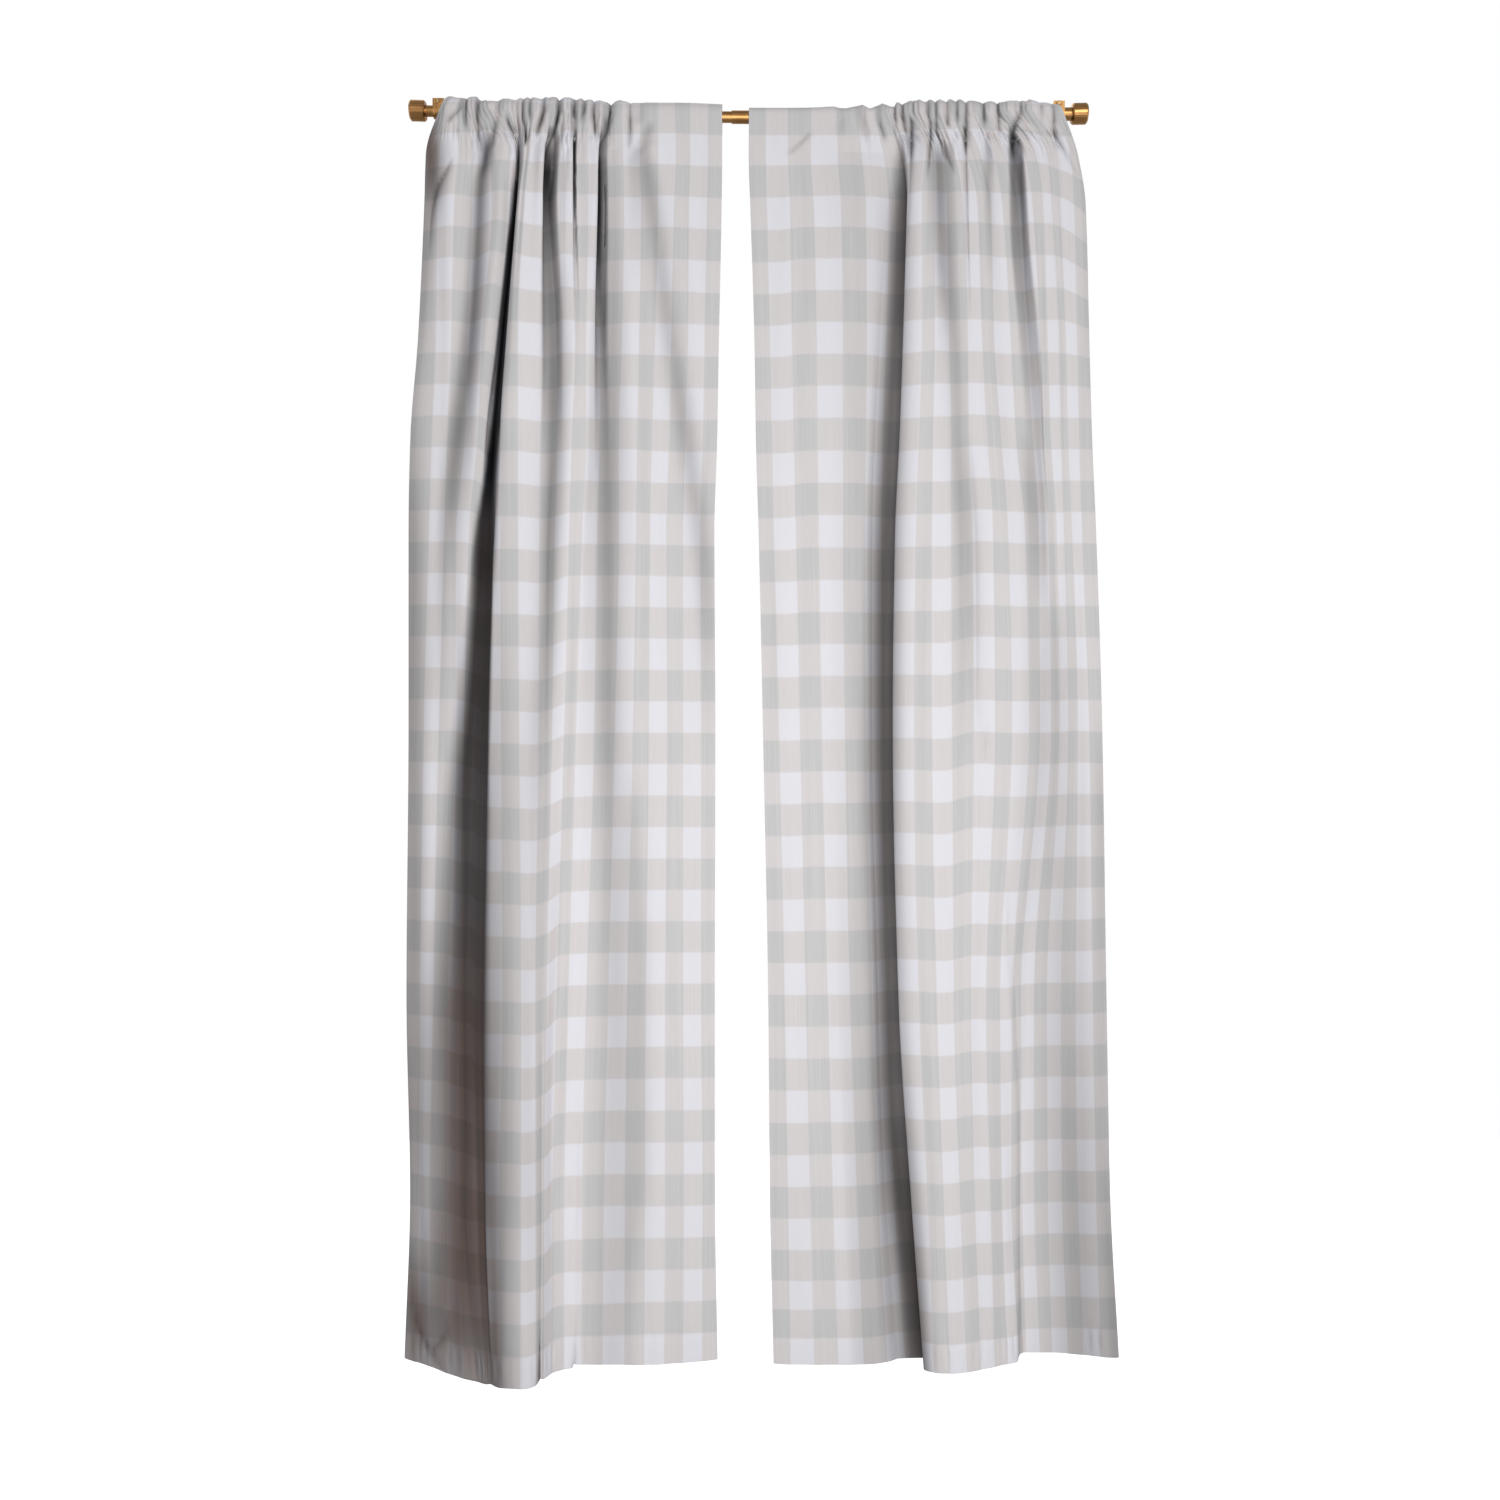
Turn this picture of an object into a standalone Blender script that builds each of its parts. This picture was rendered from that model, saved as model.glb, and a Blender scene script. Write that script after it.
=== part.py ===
"""A pair of check curtain panels hung by their rod pockets on a telescoping rod with two wall brackets.

Sizes are in millimetres until the meshes are made, which are in metres. +X is right, the front faces -Y,
+Z is up. The origin is on the wall plane, midway between the brackets, at the height of the rod's ends.
"""

import math
from collections import namedtuple

import bmesh
import bpy
from mathutils import Vector

MM = 0.001
MERGE_DISTANCE = 0.00001

# Panels, hung length and heights from the origin
PANEL_LENGTH = 2134.0
FLAT_TOP = 10.5
HEM_HEIGHT = FLAT_TOP - PANEL_LENGTH
CLOTH = 2.0
STITCH_BELOW_ROD = 42.0
SEAM_TURN = 5.0

# Rod
ROD_TO_WALL = 75.0
ROD_SAG = 8.4
ROD_TILT = -0.0048
ROD_HALF = 562.0
INNER_RADIUS = 9.5
OUTER_RADIUS = 11.0
TUBE_WALL = 1.1
TUBE_END = 553.0
JOINT_X = -29.0
TUBE_LAP = 150.0
TUBE_STEP = 60.0
FIT_GAP = 0.35
ROUND_SIDES = 28

# End caps
CAP_RADIUS = 17.7
CAP_LENGTH = 27.0
CAP_CHAMFER = 2.5
CAP_SPIGOT = 14.0

# Brackets
BRACKET_X = 530.0
BRACKET_WIDTH = 19.0
PLATE_HEIGHT = 62.0
PLATE_THICK = 3.0
PLATE_HOLE_SPACING = 42.0
PLATE_HOLE_RADIUS = 2.3
ARM_HEIGHT = 9.0
CRADLE_WALL = 2.6
CRADLE_GAP = 0.7
CRADLE_RISE = 18.0
CRADLE_STEPS = 14
SCREW_SHANK = 2.0
SCREW_HEAD = 4.4
SCREW_FACE = 3.2
SCREW_HEAD_THICK = 2.4
SCREW_CROSS = 2.7
SCREW_SLOT = 1.1
SCREW_SLOT_DEPTH = 0.9
HOLE_SIDES = 16

# Edges sharper than these stay hard on the metal pieces and on the cloth
HARD_EDGE = math.radians(35)
CLOTH_EDGE = math.radians(60)

# Front picture: the sideways places in the tables are read off it
PIXEL = 1.70
ROD_MIDDLE_PIXEL = 748.6
VIEW_AXIS_PIXEL = 750.0
VIEW_DISTANCE = 2700.0
FLAT_DEPTH = 22.0

# Levels down the cloth, below the rod's line
LEVEL_DROPS = (0.0, 150.0, 385.0, 710.0, 1040.0, 1510.0, -HEM_HEIGHT)

# One row is one line of the cloth from its top to its hem. stripe counts the check's stripes from the
# inner edge. Every other column is a level, as a pair: the place sideways in picture pixels, and how far
# the cloth stands forward of the rod's centre line. In the column top the second number is instead how
# high the cloth's top stands above the rod's centre line.
Line = namedtuple("Line", "stripe top rod neck upper chest middle low hem")

LEFT_LINES = (
    Line(0.0, (722, 18), (722, 15), (722, 14), (719, 12), (714, 12), (715, 14), (714, 16), (718, 18)),
    Line(1.67, (690, 18), (690, 16), (689, 16), (688, 17), (683, 20), (683, 22), (683, 24), (683, 26)),
    Line(3.67, (658, 18), (658, 17), (659, 18), (655, 20), (650, 22), (649, 26), (646, 28), (644, 30)),
    Line(5.67, (622, 18), (622, 18), (626, 22), (622, 20), (619, 22), (615, 24), (608, 26), (603, 30)),
    Line(6.67, (603, 11.3), (603, 15), (607, 20), (604, 6), (597, 24), (594, 30), (586, 28), (581, 32)),
    Line(7.17, (594, 20), (594, 28), (603, -4), (594, 14), (589, 34), (585, 36), (577, 32), (572, 34)),
    Line(7.67, (584, 26), (584, 36), (585, 44), (586, 44), (582, 46), (576, 46), (568, 38), (564, 36)),
    Line(8.67, (572, 11.3), (572, 15), (574, 26), (576, 52), (569, 56), (564, 60), (556, 52), (551, 44)),
    Line(9.67, (560, 26), (560, 36), (561, 46), (560, 48), (555, 64), (552, 76), (546, 70), (543, 60)),
    Line(10.17, (553, 19), (553, 26), (551, 0), (552, 30), (547, 76), (545, 88), (541, 84), (542, 84)),
    Line(10.67, (547, 11.3), (547, 15), (545, 34), (544, 62), (539, 92), (538, 102), (535, 100), (537, 108)),
    Line(11.67, (535, 26), (535, 36), (524, 62), (517, 82), (518, 108), (519, 122), (521, 124), (520, 124)),
    Line(12.67, (523, 11.3), (523, 15), (515, 48), (507, 62), (501, 104), (502, 126), (503, 130), (501, 124)),
    Line(13.67, (510, 26), (510, 38), (514, 15), (509, 20), (495, 76), (489, 114), (486, 120), (492, 112)),
    Line(14.67, (497, 11.3), (497, 16), (509, -20), (504, -22), (492, 32), (496, 76), (494, 92), (501, 92)),
    Line(15.67, (486, 25), (486, 34), (497, 26), (493, 16), (480, 30), (478, 78), (474, 88), (481, 90)),
    Line(16.67, (476, 11.3), (476, 15), (477, 8), (478, 4), (469, 26), (466, 50), (460, 66), (465, 72)),
    Line(17.67, (467, 24), (467, 32), (464, 16), (466, 16), (456, 24), (454, 26), (448, 44), (448, 50)),
    Line(18.67, (459, 11.3), (457, 16), (453, 24), (451, 22), (444, 20), (439, 20), (433, 26), (431, 32)),
    Line(19.67, (452, 20), (446, 26), (436, 20), (436, 16), (429, 12), (424, 14), (420, 18), (418, 22)),
    Line(20.5, (446, 13), (438, 24), (425, 8), (418, 4), (408, 4), (408, 6), (406, 10), (405, 14)),
)

RIGHT_LINES = (
    Line(0.0, (749, 18), (749, 15), (749, 14), (754, 14), (757, 16), (762, 18), (767, 20), (773, 24)),
    Line(1.67, (787, 17), (787, 15), (790, 16), (792, 18), (796, 22), (800, 24), (806, 26), (814, 28)),
    Line(3.67, (836, 17), (836, 15), (841, 18), (843, 20), (843, 22), (845, 24), (850, 24), (864, 26)),
    Line(4.67, (857, 18), (857, 16), (866, 16), (867, 14), (865, 12), (866, 12), (872, 12), (887, 16)),
    Line(5.67, (873, 12.8), (873, 15), (892, -2), (887, -8), (880, -10), (882, -12), (886, -10), (906, -2)),
    Line(6.1, (880, 19), (880, 24), (907, -8), (903, -12), (896, -16), (894, -16), (900, -12), (924, -2)),
    Line(7.0, (892, 26), (892, 36), (907, 38), (903, 34), (895, 32), (893, 34), (899, 38), (924, 50)),
    Line(7.67, (901, 20), (901, 24), (921, 46), (921, 50), (916, 52), (914, 54), (919, 54), (934, 66)),
    Line(8.67, (914, 12.8), (914, 15), (933, 30), (935, 46), (932, 52), (932, 56), (937, 58), (950, 72)),
    Line(9.67, (926, 26), (926, 36), (945, 18), (949, 36), (951, 46), (952, 52), (954, 54), (967, 68)),
    Line(10.67, (938, 12.8), (938, 15), (965, 34), (968, 42), (973, 36), (974, 38), (971, 44), (981, 60)),
    Line(11.67, (951, 26), (951, 36), (984, 30), (982, 36), (993, 46), (995, 42), (986, 36), (995, 48)),
    Line(12.67, (963, 12.8), (963, 15), (996, 20), (994, 22), (1008, 40), (1012, 44), (1000, 28), (1008, 36)),
    Line(13.67, (975, 26), (975, 36), (1010, 0), (1013, 6), (1025, 26), (1029, 38), (1012, 16), (1018, 22)),
    Line(14.67, (986, 12.8), (986, 15), (1025, 12), (1032, 20), (1039, 18), (1040, 26), (1021, 0), (1025, -18)),
    Line(15.67, (997, 26), (997, 34), (1035, 32), (1040, 34), (1048, 26), (1051, 18), (1034, -4), (1039, -24)),
    Line(16.67, (1008, 12.8), (1008, 15), (1045, 28), (1048, 22), (1057, 14), (1060, 8), (1047, -2), (1052, -18)),
    Line(17.67, (1020, 25), (1020, 34), (1055, 16), (1059, 26), (1064, 18), (1068, 12), (1061, 4), (1068, -8)),
    Line(18.67, (1032, 12.8), (1032, 16), (1063, 26), (1066, 18), (1072, 16), (1078, 6), (1076, 10), (1083, 0)),
    Line(19.67, (1045, 20), (1048, 28), (1074, 20), (1076, 22), (1082, 10), (1089, 12), (1093, 14), (1101, 8)),
    Line(20.5, (1051, 14), (1060, 26), (1085, 8), (1089, 10), (1095, 6), (1102, 6), (1106, 8), (1119, 10)),
)

# Rows of the solid cloth, as shares of the way from the stitch line to the hem
DROP_ROWS = (1.0, 0.87, 0.74, 0.62, 0.51, 0.41, 0.31, 0.22, 0.14, 0.07, 0.03)
GATHER_STEP = 0.34
FLAT_STEP = 0.7
GATHER_START = 5.6

# Pocket round the rod: how near its back comes to the rod's centre line, how much of a front gather
# shows behind, and where its back layer bends on the way down to the seam
CROWN_STEPS = 6
BACK_REACH = 14.0
BACK_GATHER = 0.45
BACK_BEND = 0.6
EDGE_SLANT = 3.0


def rod_height(x):
    """Height of the rod's centre line, which sags in the middle and sits a little higher on the left."""
    return ROD_TILT * x - ROD_SAG * (1.0 - (x / ROD_HALF) ** 2)


def cubic(keys, values, where):
    """Smooth curve through the keys, that doesn't swing past them."""
    last = len(keys) - 1
    spans = [keys[i + 1] - keys[i] for i in range(last)]
    slopes = [(values[i + 1] - values[i]) / spans[i] for i in range(last)]
    tangents = [slopes[0]]
    for i in range(1, last):
        before, after = slopes[i - 1], slopes[i]
        same_way = before * after > 0.0
        tangents.append(2.0 * before * after / (before + after) if same_way else 0.0)
    tangents.append(slopes[-1])
    i = 0
    while i < last - 1 and where > keys[i + 1]:
        i += 1
    t = (where - keys[i]) / spans[i]
    rise = values[i] * (1 + 2 * t) * (1 - t) ** 2 + values[i + 1] * t * t * (3 - 2 * t)
    return rise + spans[i] * (tangents[i] * t * (1 - t) ** 2 - tangents[i + 1] * t * t * (1 - t))


def sideways(seen, depth):
    """Real place sideways of cloth seen at a picture pixel, at a depth forward of the rod."""
    axis = (VIEW_AXIS_PIXEL - ROD_MIDDLE_PIXEL) * PIXEL
    nearer = (depth - FLAT_DEPTH) / VIEW_DISTANCE
    return axis + (seen - VIEW_AXIS_PIXEL) * PIXEL * (1.0 - nearer)


class Panel:
    """The hanging shape of one panel, worked out from its table of lines."""

    def __init__(self, lines):
        self.lines = lines
        self.stripes = [line.stripe for line in lines]

    def across(self, values, stripe):
        return cubic(self.stripes, values, stripe)

    def plan(self, stripe, drop):
        """Place sideways and depth of the cloth at a stripe, a drop below the rod's line."""
        seen, depths = [], []
        for line in self.lines:
            levels = line[2:]
            seen.append(cubic(LEVEL_DROPS, [level[0] for level in levels], drop))
            depths.append(cubic(LEVEL_DROPS, [level[1] for level in levels], drop))
        depth = self.across(depths, stripe)
        return sideways(self.across(seen, stripe), depth), depth

    def point(self, stripe, share):
        """Middle of the cloth at a stripe, a share of the way from the stitch line to the hem."""
        x_rod, _ = self.plan(stripe, 0.0)
        stitch = rod_height(x_rod) - STITCH_BELOW_ROD
        z = stitch + (HEM_HEIGHT - stitch) * share
        x, depth = self.plan(stripe, STITCH_BELOW_ROD + (LEVEL_DROPS[-1] - STITCH_BELOW_ROD) * share)
        return Vector((x, -ROD_TO_WALL - depth, z))

    def pocket(self, stripe):
        """Middle of the cloth from the rod's height in front, over the top and down behind to the seam."""
        x_rod, front = self.plan(stripe, 0.0)
        x_top = sideways(self.across([line.top[0] for line in self.lines], stripe), front)
        crown = self.across([line.top[1] for line in self.lines], stripe)
        back = -BACK_REACH - BACK_GATHER * (front - BACK_REACH)
        centre, reach = (front + back) / 2.0, (front - back) / 2.0
        height = rod_height(x_rod)
        points = []
        for step in range(CROWN_STEPS + 1):
            angle = math.pi * step / CROWN_STEPS
            x = x_rod + (x_top - x_rod) * min(1.0, EDGE_SLANT * step / CROWN_STEPS)
            points.append(Vector((x, -ROD_TO_WALL - centre - reach * math.cos(angle),
                                  height + crown * math.sin(angle))))
        seam = self.point(stripe, 0.0) + Vector((0.0, CLOTH, 0.0))
        bend = points[-1].lerp(seam, BACK_BEND)
        bend.x = points[-1].lerp(seam, BACK_BEND ** 2).x
        bend.y = points[-1].lerp(seam, BACK_BEND ** 2).y
        points.append(bend)
        return points

    def column_stripes(self):
        """Where the columns of the solid stand: closer together in the gathers than on the flat part."""
        places = [0.0]
        for before, after in zip(self.stripes, self.stripes[1:]):
            step = FLAT_STEP if after < GATHER_START else GATHER_STEP
            count = max(1, round((after - before) / step))
            places += [before + (after - before) * i / count for i in range(1, count + 1)]
        return places


def unit_normals(grid):
    """Outward direction at each point of a grid of columns of rows, from its neighbours."""
    normals = []
    for i, column in enumerate(grid):
        before, after = grid[max(i - 1, 0)], grid[min(i + 1, len(grid) - 1)]
        row_normals = []
        for j in range(len(column)):
            along = after[j] - before[j]
            up = column[min(j + 1, len(column) - 1)] - column[max(j - 1, 0)]
            row_normals.append(along.cross(up).normalized())
        normals.append(row_normals)
    return normals


def make_object(name, vertices, faces, material, smooth_angle):
    """One named object from points in millimetres."""
    mesh = bpy.data.meshes.new(name)
    mesh.from_pydata([tuple(point * MM) for point in vertices], [], faces)
    mesh.update()
    work = bmesh.new()
    work.from_mesh(mesh)
    bmesh.ops.recalc_face_normals(work, faces=work.faces)
    bmesh.ops.triangulate(work, faces=work.faces)
    work.to_mesh(mesh)
    work.free()
    mesh.shade_smooth()
    mesh.set_sharp_from_angle(angle=smooth_angle)
    thing = bpy.data.objects.new(name, mesh)
    thing.data.materials.append(material)
    bpy.context.collection.objects.link(thing)
    return thing


def merge_doubles(mesh):
    """Joins the points of a turned piece that meet on its axis."""
    work = bmesh.new()
    work.from_mesh(mesh)
    bmesh.ops.remove_doubles(work, verts=work.verts, dist=MERGE_DISTANCE)
    bmesh.ops.recalc_face_normals(work, faces=work.faces)
    work.to_mesh(mesh)
    work.free()


def make_panel(name, lines, material):
    """A panel as one closed solid: a sheet with a tunnel for the rod along its top."""
    panel = Panel(lines)
    grid = []
    for stripe in panel.column_stripes():
        sheet = [panel.point(stripe, share) for share in DROP_ROWS]
        turn = panel.point(stripe, 0.0) - Vector((0.0, 0.0, SEAM_TURN))
        grid.append(sheet + [turn, panel.point(stripe, 0.0)] + panel.pocket(stripe))
    if grid[0][0].x > grid[-1][0].x:
        grid.reverse()
    seam = len(DROP_ROWS) + 1
    normals = unit_normals(grid)

    vertices, columns = [], []
    for points, out in zip(grid, normals):
        half = CLOTH / 2.0
        outer = [point + n * half for point, n in zip(points, out)]
        outer.append(points[seam] - out[seam] * half * 3.0)
        outer += [points[j] - out[j] * half for j in range(seam - 1, -1, -1)]
        inner = [points[seam] - out[seam] * half]
        inner += [points[j] - out[j] * half for j in range(seam + 1, len(points))]
        start = len(vertices)
        vertices += outer + inner
        columns.append((start, len(outer), start + len(outer), len(inner)))

    faces = []
    for left, right in zip(columns, columns[1:]):
        for (a, b, count) in ((left[0], right[0], left[1]), (left[2], right[2], left[3])):
            for j in range(count):
                k = (j + 1) % count
                faces.append((a + j, b + j, b + k, a + k))
    for start, outer_count, hole, hole_count in (columns[0], columns[-1]):
        last = outer_count - 1
        for j in range(seam - 1):
            faces.append((start + j, start + j + 1, start + last - j - 1, start + last - j))
        turn_back = start + last - (seam - 1)
        faces.append((start + seam - 1, start + seam, hole, turn_back))
        faces.append((hole, turn_back - 1, turn_back))
        for j in range(hole_count):
            k = (j + 1) % hole_count
            faces.append((start + seam + j, start + seam + j + 1, hole + k, hole + j))
    return make_object(name, vertices, faces, material, CLOTH_EDGE)


def make_turned(name, profile, material):
    """A round piece on the rod's line, from a closed profile of places along the rod and radii."""
    vertices, faces = [], []
    for x, radius in profile:
        for side in range(ROUND_SIDES):
            angle = 2.0 * math.pi * side / ROUND_SIDES
            vertices.append(Vector((x, -ROD_TO_WALL + radius * math.cos(angle),
                                    rod_height(x) + radius * math.sin(angle))))
    count = len(profile)
    for ring in range(count):
        after = (ring + 1) % count
        if profile[ring][1] == 0.0 and profile[after][1] == 0.0:
            continue
        for side in range(ROUND_SIDES):
            turn = (side + 1) % ROUND_SIDES
            faces.append((ring * ROUND_SIDES + side, ring * ROUND_SIDES + turn,
                          after * ROUND_SIDES + turn, after * ROUND_SIDES + side))
    thing = make_object(name, vertices, faces, material, HARD_EDGE)
    merge_doubles(thing.data)
    return thing


def tube_profile(start, end, radius):
    """A tube's closed profile: out along its outside and back along its bore."""
    steps = max(2, round(abs(end - start) / TUBE_STEP))
    places = [start + (end - start) * i / steps for i in range(steps + 1)]
    bore = radius - TUBE_WALL
    return [(x, radius) for x in places] + [(x, bore) for x in reversed(places)]


def make_rod(brass):
    """The rod's two tubes, the thin one sliding inside the thick one."""
    make_turned("rod_inner", tube_profile(-TUBE_END, JOINT_X + TUBE_LAP, INNER_RADIUS), brass)
    make_turned("rod_outer", tube_profile(JOINT_X, TUBE_END, OUTER_RADIUS), brass)


def make_cap(name, side, tube_radius, material):
    """An end cap: a plain drum with chamfered rims and a spigot inside the tube's end."""
    face = side * (TUBE_END + FIT_GAP)
    spigot = tube_radius - TUBE_WALL - FIT_GAP
    profile = (
        (face - side * CAP_SPIGOT, 0.0),
        (face - side * CAP_SPIGOT, spigot),
        (face, spigot),
        (face, CAP_RADIUS - CAP_CHAMFER),
        (face + side * CAP_CHAMFER, CAP_RADIUS),
        (face + side * (CAP_LENGTH - CAP_CHAMFER), CAP_RADIUS),
        (face + side * CAP_LENGTH, CAP_RADIUS - CAP_CHAMFER),
        (face + side * CAP_LENGTH, 0.0),
    )
    make_turned(name, profile, material)


def arc(centre, radius, start, end, steps):
    """Points on an arc, in degrees from +Y towards +Z."""
    points = []
    for step in range(steps + 1):
        angle = math.radians(start + (end - start) * step / steps)
        points.append((centre[0] + radius * math.cos(angle), centre[1] + radius * math.sin(angle)))
    return points


def add_cutter(name, parts):
    """A hidden piece that cuts holes: cylinders as (centre, radius, length) along Y."""
    work = bmesh.new()
    for centre, radius, length in parts:
        made = bmesh.ops.create_cone(work, cap_ends=True, segments=HOLE_SIDES, radius1=radius * MM,
                                     radius2=radius * MM, depth=length * MM)
        for vertex in made["verts"]:
            x, y, z = vertex.co
            vertex.co = Vector((x, -z, y)) + Vector(centre) * MM
    mesh = bpy.data.meshes.new(name)
    work.to_mesh(mesh)
    work.free()
    return hidden_object(name, mesh)


def hidden_object(name, mesh):
    thing = bpy.data.objects.new(name, mesh)
    thing.hide_render = True
    thing.display_type = "WIRE"
    bpy.context.collection.objects.link(thing)
    return thing


def cut(thing, cutter):
    """Cuts one object with another."""
    modifier = thing.modifiers.new("holes", "BOOLEAN")
    modifier.operation = "DIFFERENCE"
    modifier.object = cutter


def make_bracket(name, side, tube_radius, material):
    """A bracket: one side outline of wall plate, arm and open cradle, as wide as its strap."""
    x = side * BRACKET_X
    z = rod_height(x)
    y = -ROD_TO_WALL
    seat = tube_radius + CRADLE_GAP
    outside = seat + CRADLE_WALL
    top = z + CRADLE_RISE
    plate_top, plate_foot = z + PLATE_HEIGHT / 2.0, z - PLATE_HEIGHT / 2.0
    outline = [(0.0, plate_foot), (0.0, plate_top), (-PLATE_THICK, plate_top)]
    outline += [(-PLATE_THICK, z + ARM_HEIGHT / 2.0), (y + outside, z + ARM_HEIGHT / 2.0)]
    outline += [(y + outside, top), (y + seat, top)]
    outline += arc((y, z), seat, 0.0, -180.0, CRADLE_STEPS)
    outline += [(y - seat, top), (y - outside, top)]
    outline += arc((y, z), outside, 180.0, 340.0, CRADLE_STEPS)
    outline += [(-PLATE_THICK, z - ARM_HEIGHT / 2.0), (-PLATE_THICK, plate_foot)]
    half = BRACKET_WIDTH / 2.0
    vertices = [Vector((x - half, py, pz)) for py, pz in outline]
    vertices += [Vector((x + half, py, pz)) for py, pz in outline]
    count = len(outline)
    faces = [tuple(range(count)), tuple(range(2 * count - 1, count - 1, -1))]
    faces += [(i, (i + 1) % count, count + (i + 1) % count, count + i) for i in range(count)]
    bracket = make_object(name, vertices, faces, material, HARD_EDGE)
    spacing = PLATE_HOLE_SPACING / 2.0
    rise = screw_rise(tube_radius)
    holes = [((x, 0.0, z + way * spacing), PLATE_HOLE_RADIUS, 4.0 * PLATE_THICK) for way in (1, -1)]
    holes.append(((x, y - seat, z + rise), SCREW_SHANK + FIT_GAP, 4.0 * CRADLE_WALL))
    cut(bracket, add_cutter(name + "_holes", holes))


def screw_rise(tube_radius):
    """How far the locking screw's axis passes above the rod's centre line."""
    return tube_radius + FIT_GAP + SCREW_SHANK


def make_screw(name, side, tube_radius, material):
    """The cross-head screw that passes over the rod and closes the cradle."""
    x = side * BRACKET_X
    z = rod_height(x) + screw_rise(tube_radius)
    seat = tube_radius + CRADLE_GAP
    head_back = -ROD_TO_WALL - seat - CRADLE_WALL - FIT_GAP
    tip = -ROD_TO_WALL + seat - FIT_GAP
    profile = (
        (head_back - SCREW_HEAD_THICK, 0.0),
        (head_back - SCREW_HEAD_THICK, SCREW_FACE),
        (head_back - SCREW_HEAD_THICK / 2.0, SCREW_HEAD),
        (head_back, SCREW_HEAD),
        (head_back, SCREW_SHANK),
        (tip, SCREW_SHANK),
        (tip, 0.0),
    )
    vertices, faces = [], []
    for y, radius in profile:
        for side in range(HOLE_SIDES):
            angle = 2.0 * math.pi * side / HOLE_SIDES
            vertices.append(Vector((x + radius * math.cos(angle), y, z + radius * math.sin(angle))))
    for ring in range(len(profile) - 1):
        here, there = ring * HOLE_SIDES, (ring + 1) * HOLE_SIDES
        for side in range(HOLE_SIDES):
            turn = (side + 1) % HOLE_SIDES
            faces.append((here + side, here + turn, there + turn, there + side))
    screw = make_object(name, vertices, faces, material, HARD_EDGE)
    merge_doubles(screw.data)
    cut(screw, add_cross(name + "_cross", (x, head_back - SCREW_HEAD_THICK, z)))


def add_cross(name, centre):
    """The cross-shaped cutter for a screw's drive, as one outline."""
    arm, slot = SCREW_CROSS, SCREW_SLOT / 2.0
    outline = []
    for quarter in range(4):
        for along, across in ((arm, -slot), (arm, slot), (slot, slot)):
            angle = math.radians(90.0 * quarter)
            outline.append((along * math.cos(angle) - across * math.sin(angle),
                            along * math.sin(angle) + across * math.cos(angle)))
    count = len(outline)
    points = []
    for depth in (-SCREW_SLOT_DEPTH, SCREW_SLOT_DEPTH):
        points += [tuple((Vector(centre) + Vector((px, depth, pz))) * MM) for px, pz in outline]
    faces = [tuple(range(count)), tuple(range(2 * count - 1, count - 1, -1))]
    faces += [(i, (i + 1) % count, count + (i + 1) % count, count + i) for i in range(count)]
    mesh = bpy.data.meshes.new(name)
    mesh.from_pydata(points, [], faces)
    work = bmesh.new()
    work.from_mesh(mesh)
    bmesh.ops.recalc_face_normals(work, faces=work.faces)
    work.to_mesh(mesh)
    work.free()
    return hidden_object(name, mesh)


def make_material(name, colour, roughness, metallic):
    """A plain material."""
    material = bpy.data.materials.new(name)
    material.use_nodes = True
    shader = material.node_tree.nodes["Principled BSDF"]
    shader.inputs["Base Color"].default_value = (*colour, 1.0)
    shader.inputs["Roughness"].default_value = roughness
    shader.inputs["Metallic"].default_value = metallic
    return material


def main():
    for thing in list(bpy.data.objects):
        bpy.data.objects.remove(thing)
    grey = (0.72, 0.71, 0.71)
    brass = (0.47, 0.27, 0.09)
    make_panel("left_panel", LEFT_LINES, make_material("left_cloth", grey, 0.85, 0.0))
    make_panel("right_panel", RIGHT_LINES, make_material("right_cloth", grey, 0.85, 0.0))
    make_rod(make_material("rod_brass", brass, 0.32, 1.0))
    sides = (("left", -1, INNER_RADIUS), ("right", 1, OUTER_RADIUS))
    for word, side, radius in sides:
        make_cap(word + "_cap", side, radius, make_material(word + "_cap_brass", brass, 0.3, 1.0))
        make_bracket(word + "_bracket", side, radius,
                     make_material(word + "_bracket_brass", brass, 0.36, 1.0))
        make_screw(word + "_screw", side, radius, make_material(word + "_screw_brass", brass, 0.3, 1.0))


main()
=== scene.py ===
"""Looks of a pair of check blackout panels, gathered by their rod pockets on a brass rod.

Sizes are in millimetres until a mesh is made, which is in metres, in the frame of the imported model:
+X is right, the front faces -Y, +Z is up, and the origin is on the wall plane at the rod's height.
"""

import logging
import math
from dataclasses import dataclass
from enum import Enum
from typing import Any, Sequence

import bpy
import numpy as np
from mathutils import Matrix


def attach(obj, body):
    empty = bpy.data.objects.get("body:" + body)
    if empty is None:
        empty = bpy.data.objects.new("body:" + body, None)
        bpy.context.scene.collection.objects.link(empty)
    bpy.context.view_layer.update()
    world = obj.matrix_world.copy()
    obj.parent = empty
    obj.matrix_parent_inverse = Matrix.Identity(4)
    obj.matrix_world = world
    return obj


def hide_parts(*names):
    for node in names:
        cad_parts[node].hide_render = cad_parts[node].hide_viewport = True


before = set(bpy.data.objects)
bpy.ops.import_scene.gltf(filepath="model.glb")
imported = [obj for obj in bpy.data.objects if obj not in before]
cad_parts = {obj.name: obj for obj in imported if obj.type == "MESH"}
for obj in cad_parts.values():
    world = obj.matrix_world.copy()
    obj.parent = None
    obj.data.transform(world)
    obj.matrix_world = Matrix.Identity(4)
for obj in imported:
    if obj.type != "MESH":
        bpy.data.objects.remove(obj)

LOG = logging.getLogger("curtain")
MM = 0.001
TINY = 1e-9
CHECK_MAP = "check"
# Names of the mesh's painted shade, and of the warm tint in it that stands in for bounced light
PAINTED_SHADE_MAP = "fold_shade"
PAINTED_WARMTH_MAP = "fold_warmth"
Grid = np.ndarray


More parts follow.
